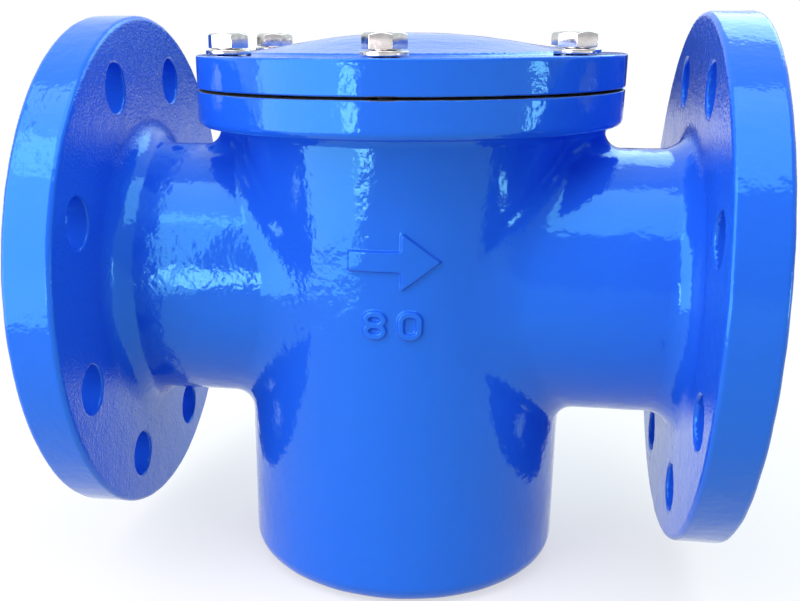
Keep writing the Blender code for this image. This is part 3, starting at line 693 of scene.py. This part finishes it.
def bolt_rings():
    """Rings of a bolt, from the top of its head to its tip. Its bearing face is at height 0."""
    angles = np.radians([60 * k + a for k in range(6) for a in HEAD_SECTOR])
    reach = head_reach(angles)
    fall = math.tan(math.pi / 6)
    rim = HEAD_HEIGHT - (reach - HEAD_TOP) * fall
    fine = HEAD_EDGE / 5
    steps = [(HEAD_TOP - fine, HEAD_HEIGHT), (HEAD_TOP + fine, HEAD_HEIGHT - fine * fall)]
    steps += [(reach - HEAD_EDGE, rim + HEAD_EDGE * fall)]
    steps += [(reach - HEAD_EDGE / 4, rim - HEAD_EDGE / 8), (reach, rim - HEAD_EDGE)]
    steps += [(reach, BEARING_RISE + HEAD_EDGE), (reach - HEAD_EDGE / 4, BEARING_RISE + HEAD_EDGE / 4)]
    steps += [(reach - HEAD_EDGE, BEARING_RISE), (BEARING_RADIUS + BEARING_RISE / 2, BEARING_RISE)]
    steps += [(BEARING_RADIUS, 0), (THREAD_CREST + HEAD_EDGE, 0), (THREAD_CREST, -HEAD_EDGE)]
    rows = int((BOLT_LENGTH - HEAD_CORNER) / THREAD_PITCH * THREAD_ROWS)
    for row in range(rows):
        height = -HEAD_CORNER - row * THREAD_PITCH / THREAD_ROWS
        steps.append((thread_reach(angles, height), height))
    steps.append((BOLT_TIP, -BOLT_LENGTH))
    out = []
    for radius, height in steps:
        spots = [radius * np.cos(angles), radius * np.sin(angles), height + 0 * angles]
        out.append(np.stack(spots, axis=1))
    return np.array(out)


def make_fasteners(steel):
    """The six bolts and their washers, each at its place on the bolt circle."""
    pattern = bolt_rings()
    low, high = WASHER_LOW.z, WASHER_HIGH.z
    ring = block_outline(WASHER_BORE, WASHER_RADIUS, low, high, WASHER_EDGE)
    for k, turn in enumerate(BOLT_TURNS):
        a = math.radians(-90 + 360 / COVER_BOLTS * k)
        x, y = COVER_BOLT_CIRCLE * math.cos(a), COVER_BOLT_CIRCLE * math.sin(a)
        spin = np.array(Matrix.Rotation(math.radians(turn), 3, "Z"))
        bolt = lofted(f"hexagon_bolt_{k + 1}", pattern @ spin.T + np.array((x, y, HEAD_SEAT)))
        finish_piece(bolt, f"bolt_{k + 1}", "fastener_steel", steel, f"cover_bolt_{k + 1}")
        washer = turned(f"flat_washer_{k + 1}", ring, SMALL_SEGMENTS, (x, y, 0))
        finish_piece(washer, f"washer_{k + 1}", "fastener_steel", steel, f"cover_washer_{k + 1}")


def make_sealing_faces(paint):
    """Grooved rings on the raised faces of both pipe flanges."""
    low, high = -GROOVE_PITCH, SEAL_HEIGHT
    outline = [(SEAL_INNER, low), (RAISED_FACE_RADIUS, low), (RAISED_FACE_RADIUS, high)]
    for k in reversed(range(GROOVES)):
        start = GROOVE_START + k * GROOVE_PITCH
        outline += [(start + GROOVE_PITCH / 2, high), (start, high - GROOVE_DEPTH)]
    outline = soften(outline + [(SEAL_INNER, high)], RAISED_FACE_CORNER, 1)
    for side, name in ((-1, "inlet_sealing_face"), (1, "outlet_sealing_face")):
        face = turned(name, outline, TURNED_SEGMENTS)
        turn = Matrix.Rotation(side * math.pi / 2, 4, "Y")
        place = Matrix.Translation((side * (FACE - SEAL_HEIGHT), 0, PIPE_AXIS))
        face.data.transform(place @ turn)
        finish_piece(face, "body", "blue_paint", paint)


def on_screen(column, row):
    """A place on the rolled sheet, counted in columns from the seam and in rows from the foot."""
    a = SEAM_ANGLE + 2 * math.pi * column / SCREEN_COLUMNS
    height = SCREEN_FOOT + row * SCREEN_ROW
    return Vector((SCREEN_RADIUS * math.cos(a), SCREEN_RADIUS * math.sin(a), height))


def holds_hole(column, row):
    """Whether a hole fits here: clear of the seam, the foot and the slanted top."""
    spot = on_screen(column, row)
    room = WEB_TOP + SLOPE * spot.x - spot.z
    off_seam = min(column % SCREEN_COLUMNS, -column % SCREEN_COLUMNS)
    return room > SCREEN_MARGIN / math.cos(SLANT) ** 2 and off_seam > SEAM_MARGIN and row > PLAIN_ROWS


def make_screen():
    """The rolled sheet with its staggered round holes, cut on a slant at the top."""
    shape = bmesh.new()
    known = {}

    def corner(half_column, row):
        key = (half_column % (2 * SCREEN_COLUMNS), row)
        if key not in known:
            known[key] = shape.verts.new(on_screen(half_column / 2, row))
        return known[key]

    rows = math.ceil((WEB_TOP + SLOPE * SCREEN_RADIUS - SCREEN_FOOT) / SCREEN_ROW)
    width = SCREEN_HOLE * SCREEN_COLUMNS / (2 * math.pi * SCREEN_RADIUS)
    height = SCREEN_HOLE / SCREEN_ROW
    for row in range(rows):
        for column in range(SCREEN_COLUMNS):
            left = 2 * column + row % 2
            around = [corner(left + k, row) for k in range(3)]
            around += [corner(left + 2 - k, row + 1) for k in range(3)]
            middle = (left / 2 + 0.5, row + 0.5)
            if not holds_hole(*middle):
                shape.faces.new(around)
                continue
            ring = []
            for k in range(HOLE_SIDES):
                a = k * HOLE_STEP - 5 * HOLE_STEP
                place = (middle[0] + width * math.cos(a), middle[1] + height * math.sin(a))
                ring.append(shape.verts.new(on_screen(*place)))
            for k in range(len(around)):
                hole_side = [ring[(2 * k + n) % HOLE_SIDES] for n in (2, 1, 0)]
                shape.faces.new([around[k], around[(k + 1) % len(around)]] + hole_side)
    bmesh.ops.bisect_plane(
        shape,
        geom=shape.verts[:] + shape.edges[:] + shape.faces[:],
        plane_co=(0, 0, WEB_TOP),
        plane_no=(-SLOPE, 0, 1),
        clear_outer=True,
    )
    mesh = bpy.data.meshes.new("perforated_screen")
    shape.to_mesh(mesh)
    shape.free()
    item = linked("perforated_screen", mesh)
    apply_step(item, "SOLIDIFY", thickness=SHEET_THICKNESS, offset=-1)
    return face_outwards(item)


def make_bottom():
    """Disc with rings of round holes, inside the foot of the screen."""
    radius = SCREEN_BORE - SEAT_GAP
    low, high = SCREEN_FOOT, SCREEN_FOOT + BOTTOM_THICKNESS
    edge = SEAT_GAP
    a = 2 * np.pi * np.arange(TURNED_SEGMENTS) / TURNED_SEGMENTS
    steps = [(radius - edge, low), (radius, low + edge), (radius, high - edge), (radius - edge, high)]
    rings = [np.stack([r * np.cos(a), r * np.sin(a), z + 0 * a], axis=1) for r, z in steps]
    plate = lofted("perforated_bottom", rings)
    holes = bmesh.new()
    for ring in range(BOTTOM_RINGS + 1):
        reach = ring * BOTTOM_PITCH
        count = max(1, 6 * ring)
        for k in range(count):
            turn = 2 * math.pi * k / count
            place = (reach * math.cos(turn), reach * math.sin(turn), low)
            bmesh.ops.create_cone(
                holes,
                segments=HOLE_SIDES,
                radius1=SCREEN_HOLE,
                radius2=SCREEN_HOLE,
                depth=4 * BOTTOM_THICKNESS,
                cap_ends=True,
                matrix=Matrix.Translation(place),
            )
    mesh = bpy.data.meshes.new("holes")
    holes.to_mesh(mesh)
    holes.free()
    tool = linked("holes", mesh)
    apply_step(plate, "BOOLEAN", operation="DIFFERENCE", solver="EXACT", object=tool)
    bpy.data.objects.remove(tool)
    return face_outwards(plate)


def make_seam_strip():
    """Rounded flat strip along the seam, inside the screen. Its top follows the slant."""
    outline = block_outline(
        -SEAM_HALF_WIDTH, SEAM_HALF_WIDTH, SEAM_FACE, SEAM_FACE + SEAM_THICKNESS, EAR_EDGE)
    foot = [(x, y, SEAM_FOOT) for x, y in outline]
    top = [(x, y, WEB_TOP + SLOPE * x) for x, y in outline]
    return lofted("seam_strip", [foot, top])


def make_ear(side):
    """Lug welded on the rim, with a round head and the hole for the end of the bail."""
    half, foot = EAR_HALF, RIM_TOP - PIVOT + SEAT_GAP / math.cos(SLANT)
    corners = [math.atan2(foot - SLOPE * half, -half), math.atan2(foot + SLOPE * half, half)]
    angles = np.sort(np.append(2 * np.pi * np.arange(EAR_SIDES) / EAR_SIDES, np.mod(corners, 2 * np.pi)))
    across, up = np.cos(angles), np.sin(angles)
    wall = half / np.maximum(np.abs(across), 1e-6)
    fall = np.maximum(SLOPE * across - up, 1e-6)
    reach = np.where(up >= 0, half, np.minimum(wall, -foot / fall))
    steps = [(reach - EAR_EDGE, 0), (reach, EAR_EDGE), (reach, EAR_THICKNESS - EAR_EDGE)]
    steps += [(reach - EAR_EDGE, EAR_THICKNESS), (EAR_BORE + EAR_EDGE, EAR_THICKNESS)]
    steps += [(EAR_BORE, EAR_THICKNESS - EAR_EDGE), (EAR_BORE, EAR_EDGE), (EAR_BORE + EAR_EDGE, 0)]
    rings = [
        np.stack([r * across, side * (EAR_INNER + depth) + 0 * across, PIVOT + r * up], axis=1)
        for r, depth in steps
    ]
    return lofted("bail_lug_back" if side > 0 else "bail_lug_front", rings, closed=True)


def bail_route():
    """(reach, across) places of the middle of the wire, from one end of the bail to the other."""
    half = [(0, BAIL_STUB), (0, BAIL_LEG + 2 * BAIL_BEND)]
    for a in np.radians(np.linspace(180, 270, BAIL_BEND_STEPS)):
        half.append((BAIL_BEND * (1 + math.cos(a)), BAIL_LEG + BAIL_BEND * (1 + math.sin(a))))
    for t in np.linspace(0, math.pi / 2, BAIL_ARC_STEPS)[1:]:
        half.append((BAIL_BEND + (BAIL_REACH - BAIL_BEND) * math.sin(t), BAIL_LEG * math.cos(t)))
    return np.array(half + [(reach, -across) for reach, across in half[-2::-1]])


def make_bail():
    """Round wire handle with rounded ends, at rest on the low side of the rim."""
    route = bail_route()
    way = np.gradient(route, axis=0)
    way = way / np.linalg.norm(way, axis=1)[:, None]
    out = np.array((-math.cos(BAIL_ANGLE), 0, -math.sin(BAIL_ANGLE)))
    lift = np.array((-math.sin(BAIL_ANGLE), 0, math.cos(BAIL_ANGLE)))
    around = 2 * np.pi * np.arange(WIRE_SIDES) / WIRE_SIDES
    rings = []
    last = len(route) - 1
    for k, (spot, step) in enumerate(zip(route, way)):
        side = -step[1] * out + step[0] * np.array((0, 1.0, 0))
        middle = spot[0] * out + np.array((0, spot[1], PIVOT))
        ahead = step[0] * out + step[1] * np.array((0, 1.0, 0))
        sizes = [(1, 0)]
        if k in (0, last):
            sign = -1 if k == 0 else 1
            sizes = [(math.cos(t), sign * math.sin(t)) for t in np.radians(WIRE_END)]
            sizes = sizes[::-1] if k == 0 else sizes
        for size, shift in sizes:
            rings.append([
                middle + BAIL_WIRE * (shift * ahead + size * (math.cos(a) * side + math.sin(a) * lift))
                for a in around
            ])
    return lofted("wire_bail", rings)


def make_basket(steel):
    """The basket's own pieces, and the bail that swings on it."""
    slot = "basket_steel"
    rim = block_outline(SCREEN_BORE, RIM_RADIUS, RIM_BOTTOM, RIM_TOP, RIM_EDGE)
    rim = turned("slanted_rim", rim, TURNED_SEGMENTS, shear=SLOPE)
    finish_piece(rim, "basket", slot, steel, "basket_rim")
    finish_piece(make_screen(), "basket", slot, steel, "basket_screen")
    finish_piece(make_bottom(), "basket", slot, steel, "basket_bottom")
    finish_piece(make_seam_strip(), "basket", slot, steel, "basket_seam_strip")
    finish_piece(make_ear(1), "basket", slot, steel, "bail_ear_back")
    finish_piece(make_ear(-1), "basket", slot, steel, "bail_ear_front")
    finish_piece(make_bail(), "bail", slot, steel, "basket_bail")


def make_gasket(rubber):
    """Flat ring between the casting and the cover."""
    inner, outer = CHAMBER_RADIUS + GASKET_INSET, GASKET_HIGH.x
    ring = block_outline(inner, outer, GASKET_LOW.z, GASKET_HIGH.z, GASKET_EDGE)
    ring = turned("flat_gasket", ring, TURNED_SEGMENTS)
    finish_piece(ring, "body", "gasket_rubber", rubber, "cover_gasket")


def finish_piece(item, body, slot, material, *nodes):
    """Give the piece its material, and say what it rides on and which nodes it stands for."""
    item.data.materials.clear()
    item.data.materials.append(material)
    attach(item, body)
    if nodes:
        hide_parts(*nodes)


def new_material(name, colour, roughness, metallic):
    """A plain material, with its node tree and its shader."""
    material = bpy.data.materials.new(name)
    material.use_nodes = True
    tree = material.node_tree
    shader = tree.nodes["Principled BSDF"]
    shader.inputs["Base Color"].default_value = (*colour, 1)
    shader.inputs["Roughness"].default_value = roughness
    shader.inputs["Metallic"].default_value = metallic
    return material, tree, shader


def coordinate(tree, kind, axis):
    """One axis of a texture coordinate."""
    place = tree.nodes.new("ShaderNodeTexCoord")
    parts = tree.nodes.new("ShaderNodeSeparateXYZ")
    tree.links.new(place.outputs[kind], parts.inputs["Vector"])
    return parts.outputs[axis]


def arithmetic(tree, operation, *values):
    """A sum on numbers and on the outputs of nodes."""
    step = tree.nodes.new("ShaderNodeMath")
    step.operation = operation
    for k, value in enumerate(values):
        if isinstance(value, (int, float)):
            step.inputs[k].default_value = value
        else:
            tree.links.new(value, step.inputs[k])
    return step.outputs["Value"]


def mapped(tree, value, source, target, interpolation="LINEAR"):
    """Carries a value from one range of numbers to another, and no further than its ends."""
    step = tree.nodes.new("ShaderNodeMapRange")
    step.interpolation_type = interpolation
    for name, number in zip(("From Min", "From Max", "To Min", "To Max"), (*source, *target)):
        step.inputs[name].default_value = number
    tree.links.new(value, step.inputs["Value"])
    return step.outputs["Result"]


def smooth_share(tree, value, low, high):
    """Rises smoothly from 0 to 1 while the value goes from low to high."""
    return mapped(tree, value, (low, high), (0, 1), "SMOOTHSTEP")


def mixed_colour(tree, share, first, second):
    """A colour between two others, each of which is four numbers or the output of a node."""
    mix = tree.nodes.new("ShaderNodeMix")
    mix.data_type = "RGBA"
    tree.links.new(share, mix.inputs["Factor"])
    for socket, colour in (("A", first), ("B", second)):
        if isinstance(colour, tuple):
            mix.inputs[socket].default_value = colour
        else:
            tree.links.new(colour, mix.inputs[socket])
    return mix.outputs["Result"]


def noise_of(tree, scale, detail):
    """Noise in the object's own space."""
    place = tree.nodes.new("ShaderNodeTexCoord")
    noise = tree.nodes.new("ShaderNodeTexNoise")
    noise.inputs["Scale"].default_value = scale
    noise.inputs["Detail"].default_value = detail
    tree.links.new(place.outputs["Object"], noise.inputs["Vector"])
    return noise.outputs["Fac"]


def noise_bump(tree, scale, depth, after=None, detail=2.0):
    """A bump node of noise. It adds to an earlier bump."""
    bump = tree.nodes.new("ShaderNodeBump")
    bump.inputs["Strength"].default_value = 1.0
    bump.inputs["Distance"].default_value = depth
    tree.links.new(noise_of(tree, scale, detail), bump.inputs["Height"])
    if after:
        tree.links.new(after.outputs["Normal"], bump.inputs["Normal"])
    return bump


def noise_level(tree, scale, low, high):
    """Noise spread between two levels."""
    return mapped(tree, noise_of(tree, scale, NOISE_DETAIL), NOISE_RANGE, (low, high))


def flange_face_share(tree):
    """1 on the flat faces of the pipe flanges, whose cast skin is coarser, and 0 elsewhere."""
    side = arithmetic(tree, "ABSOLUTE", coordinate(tree, "Object", "X"))
    facing = arithmetic(tree, "ABSOLUTE", coordinate(tree, "Normal", "X"))
    near = smooth_share(tree, side, FLANGE_BACK - NECK_FLANGE_FILLET, FLANGE_BACK - FLANGE_CORNER)
    return arithmetic(tree, "MULTIPLY", near, smooth_share(tree, facing, *FLANGE_FACING))


def joint_face_share(tree):
    """1 on the flat faces at the joint between the casting and the cover, and 0 elsewhere."""
    height = coordinate(tree, "Object", "Z")
    facing = arithmetic(tree, "ABSOLUTE", coordinate(tree, "Normal", "Z"))
    middle = (BODY_TOP + COVER_BOTTOM) / 2
    half = (COVER_BOTTOM - BODY_TOP) / 2 + UPPER_CORNER
    level = arithmetic(tree, "COMPARE", height, middle, half)
    return arithmetic(tree, "MULTIPLY", level, smooth_share(tree, facing, *JOINT_FACING))


def make_paint():
    """Glossy blue paint. The faces that meet at the cover's joint are bare turned iron."""
    material, tree, shader = new_material("blue_epoxy_paint", PAINT_COLOUR, PAINT_ROUGHNESS, 0.0)
    shader.inputs["Specular Tint"].default_value = PAINT_TINT
    shader.inputs["IOR"].default_value = PAINT_IOR
    waves = noise_bump(tree, *PAINT_WAVES)
    peel = noise_bump(tree, *PAINT_PEEL, waves)
    grain = noise_bump(tree, *CAST_GRAIN, peel, CAST_GRAIN_DETAIL)
    tree.links.new(flange_face_share(tree), grain.inputs["Strength"])
    tree.links.new(grain.outputs["Normal"], shader.inputs["Normal"])
    bare = joint_face_share(tree)
    colour = mixed_colour(tree, bare, (*PAINT_COLOUR, 1), (*IRON_COLOUR, 1))
    tree.links.new(colour, shader.inputs["Base Color"])
    tree.links.new(bare, shader.inputs["Metallic"])
    roughness = mapped(tree, bare, (0, 1), (PAINT_ROUGHNESS, IRON_ROUGHNESS))
    tree.links.new(roughness, shader.inputs["Roughness"])
    return material


def make_steel(name, colour, roughness, painted_shade_below):
    """Bright steel, slightly uneven, with painted shade that darkens it below a height."""
    material, tree, shader = new_material(name, colour, roughness, 1.0)
    dents = noise_bump(tree, *STEEL_DENTS)
    grain = noise_bump(tree, *STEEL_GRAIN, dents)
    tree.links.new(grain.outputs["Normal"], shader.inputs["Normal"])
    dull = tuple(STEEL_DULL_TONE * c for c in colour)
    tone = noise_level(tree, STEEL_TONE_SCALE, 0.0, 1.0)
    uneven = mixed_colour(tree, tone, (*colour, 1), (*dull, 1))
    # Painted shade: below this height the steel takes the darker colour
    painted_shade = arithmetic(tree, "LESS_THAN", coordinate(tree, "Object", "Z"), painted_shade_below)
    tree.links.new(mixed_colour(tree, painted_shade, uneven, PAINTED_SHADE_COLOUR), shader.inputs["Base Color"])
    least, most = (roughness + change for change in STEEL_SHINE_SPREAD)
    tree.links.new(noise_level(tree, STEEL_SHINE_SCALE, least, most), shader.inputs["Roughness"])
    return material


def make_rubber():
    """Black rubber with fine pores, worn a little paler in places."""
    material, tree, shader = new_material("gasket_rubber", RUBBER_COLOUR, RUBBER_ROUGHNESS, 0.0)
    pores = noise_bump(tree, *RUBBER_PORES)
    tree.links.new(pores.outputs["Normal"], shader.inputs["Normal"])
    wear = noise_level(tree, RUBBER_WEAR_SCALE, 0.0, 1.0)
    tree.links.new(mixed_colour(tree, wear, RUBBER_DARK, RUBBER_WORN), shader.inputs["Base Color"])
    return material


def make_camera():
    """The photograph's view. Its frame is cut from a larger picture, hence the shift."""
    yaw, pitch, roll = (math.radians(turn) for turn in CAMERA_TURN)
    level = math.cos(pitch)
    forward = Vector((-math.sin(yaw) * level, math.cos(yaw) * level, math.sin(pitch)))
    right = Vector((math.cos(yaw), math.sin(yaw), 0))
    up = right.cross(forward)
    right, up = (
        math.cos(roll) * right + math.sin(roll) * up,
        math.cos(roll) * up - math.sin(roll) * right,
    )
    turned_frame = Matrix((right, up, -forward)).transposed().to_4x4()
    camera = linked("camera", bpy.data.cameras.new("camera"))
    camera.matrix_world = Matrix.Translation(CAMERA_PLACE) @ turned_frame
    camera.data.lens = CAMERA_LENS
    camera.data.shift_x, camera.data.shift_y = CAMERA_SHIFT
    camera.data.clip_start = CAMERA_NEAREST
    bpy.context.scene.camera = camera


def on_bearing(bearing, distance, height):
    """A place at a compass bearing in degrees, counted from +X, and a distance from the barrel."""
    a = math.radians(bearing)
    return (distance * math.cos(a), distance * math.sin(a), height)


def softbox(name, place, target, width, height, radiance, colour=(1, 1, 1)):
    """An area lamp that shows the same brightness from wherever it is seen."""
    lamp = bpy.data.lights.new(name, "AREA")
    lamp.shape = "RECTANGLE"
    lamp.size = width
    lamp.size_y = height
    lamp.energy = radiance * math.pi * width * height
    lamp.color = colour
    item = linked(name, lamp)
    item.location = place
    item.rotation_euler = (Vector(target) - Vector(place)).to_track_quat("-Z", "Y").to_euler()


def seen_directly(tree):
    """1 for what the camera, a reflection or glass shows, and 0 for the light that falls on things."""
    path = tree.nodes.new("ShaderNodeLightPath")
    shown = arithmetic(tree, "MAXIMUM", path.outputs["Is Camera Ray"], path.outputs["Is Glossy Ray"])
    return arithmetic(tree, "MAXIMUM", shown, path.outputs["Is Transmission Ray"])


def make_floor():
    """A pale floor that takes the shadow near the object and turns to plain white further out."""
    bpy.ops.mesh.primitive_plane_add(size=FLOOR_SIZE, location=(0, 0, -FLOOR_GAP))
    floor = bpy.context.object
    floor.name = "floor"
    material, tree, shader = new_material("floor_white", FLOOR_COLOUR, FLOOR_ROUGHNESS, 0.0)
    place = tree.nodes.new("ShaderNodeTexCoord")
    distance = tree.nodes.new("ShaderNodeVectorMath")
    distance.operation = "LENGTH"
    tree.links.new(place.outputs["Object"], distance.inputs[0])
    span = (FLOOR_SHADOW_REACH, FLOOR_WHITE_FROM)
    white = mapped(tree, distance.outputs["Value"], span, (FLOOR_LEAST_WHITE, 1), "SMOOTHSTEP")
    glow = tree.nodes.new("ShaderNodeEmission")
    strength = mapped(tree, seen_directly(tree), (0, 1), (FLOOR_BOUNCE, 1))
    tree.links.new(strength, glow.inputs["Strength"])
    mix = tree.nodes.new("ShaderNodeMixShader")
    tree.links.new(white, mix.inputs["Fac"])
    tree.links.new(shader.outputs["BSDF"], mix.inputs[1])
    tree.links.new(glow.outputs["Emission"], mix.inputs[2])
    tree.links.new(mix.outputs["Shader"], tree.nodes["Material Output"].inputs["Surface"])
    floor.data.materials.append(material)


def make_card(name, bearings, colour):
    """A dim band near the horizon, which only reflections show. It draws the edges of bright metal."""
    turns = np.radians(np.linspace(*bearings, CARD_POSTS))
    across, along = CARD_REACH * np.cos(turns), CARD_REACH * np.sin(turns)
    spots = [(x, y, z) for z in (CARD_LOW, CARD_HIGH) for x, y in zip(across, along)]
    faces = [(k, k + 1, CARD_POSTS + k + 1, CARD_POSTS + k) for k in range(CARD_POSTS - 1)]
    card = mesh_object(name, spots, faces)
    card.data.materials.append(new_material(name, colour, 1.0, 0.0)[0])
    card.visible_camera = card.visible_diffuse = card.visible_shadow = False


def make_world():
    """A soft studio dome: white round the horizon, pale above it at the back, grey in front."""
    world = bpy.data.worlds.new("studio")
    bpy.context.scene.world = world
    world.use_nodes = True
    tree = world.node_tree
    behind = smooth_share(tree, coordinate(tree, "Generated", "Y"), SKY_FRONT_TO, SKY_BACK_FROM)
    above = smooth_share(tree, coordinate(tree, "Generated", "Z"), SKY_WHITE_TO, SKY_COLOUR_FROM)
    sky = mixed_colour(tree, behind, SKY_FRONT, SKY_BACK)
    colour = mixed_colour(tree, above, WHITE, sky)
    tree.links.new(colour, tree.nodes["Background"].inputs["Color"])


def make_lights():
    """Each lamp's place, what it faces, its width, height and radiance, and its colour unless white."""
    middle = (0, 0, PIPE_AXIS)
    softbox("overhead", (0, -0.33, 1.1), middle, 1.3, 0.8, 2.3)
    softbox("front_left_window", on_bearing(222.5, 0.55, 0.42), (0, 0, 0.42), 0.47, 0.82, 2.8)
    softbox("front_lamp", on_bearing(248, 0.62, 0.15), middle, 0.06, 0.14, 11, (1.0, 0.75, 0.8))
    softbox("back_right_window", on_bearing(62, 0.7, 0.66), middle, 0.55, 0.5, 2.4, (0.62, 0.95, 1.0))
    softbox("right_lamp", on_bearing(340, 0.62, 0.13), (0, 0, 0.13), 0.10, 0.10, 6)


paint = make_paint()
# Painted shade darkens the bolts below this height, where they sit in the cover's holes and the joint
# gap
painted_shade = COVER_TOP - TAPPED_EDGE
fastener_steel = make_steel("fastener_steel", FASTENER_COLOUR, FASTENER_ROUGHNESS, painted_shade)
basket_steel = make_steel("basket_steel", BASKET_COLOUR, BASKET_ROUGHNESS, 0)

body = skin("painted_casting", casting, BODY_LOW, BODY_HIGH, CASTING_CELL, (BODY_TOP,))
finish_piece(body, "body", "blue_paint", paint, "body_casting")
cover = skin("painted_cover", cover_shape, COVER_LOW, COVER_HIGH, COVER_CELL, (COVER_BOTTOM, COVER_TOP))
finish_piece(cover, "cover", "blue_paint", paint, "cover")
arrow = make_mark("flow_arrow", arrow_outline, ARROW_MIDDLE, *ARROW_BOX)
finish_piece(arrow, "body", "blue_paint", paint)
number = make_mark("bore_number", number_outline, NUMBER_MIDDLE, *NUMBER_BOX)
finish_piece(number, "body", "blue_paint", paint)
make_sealing_faces(paint)
make_gasket(make_rubber())
make_fasteners(fastener_steel)
make_basket(basket_steel)

make_camera()
make_floor()
make_card("dark_card", DARK_CARD_BEARINGS, DARK_CARD_COLOUR)
make_card("grey_card", GREY_CARD_BEARINGS, GREY_CARD_COLOUR)
make_world()
make_lights()
bpy.context.scene.view_settings.view_transform = "Standard"
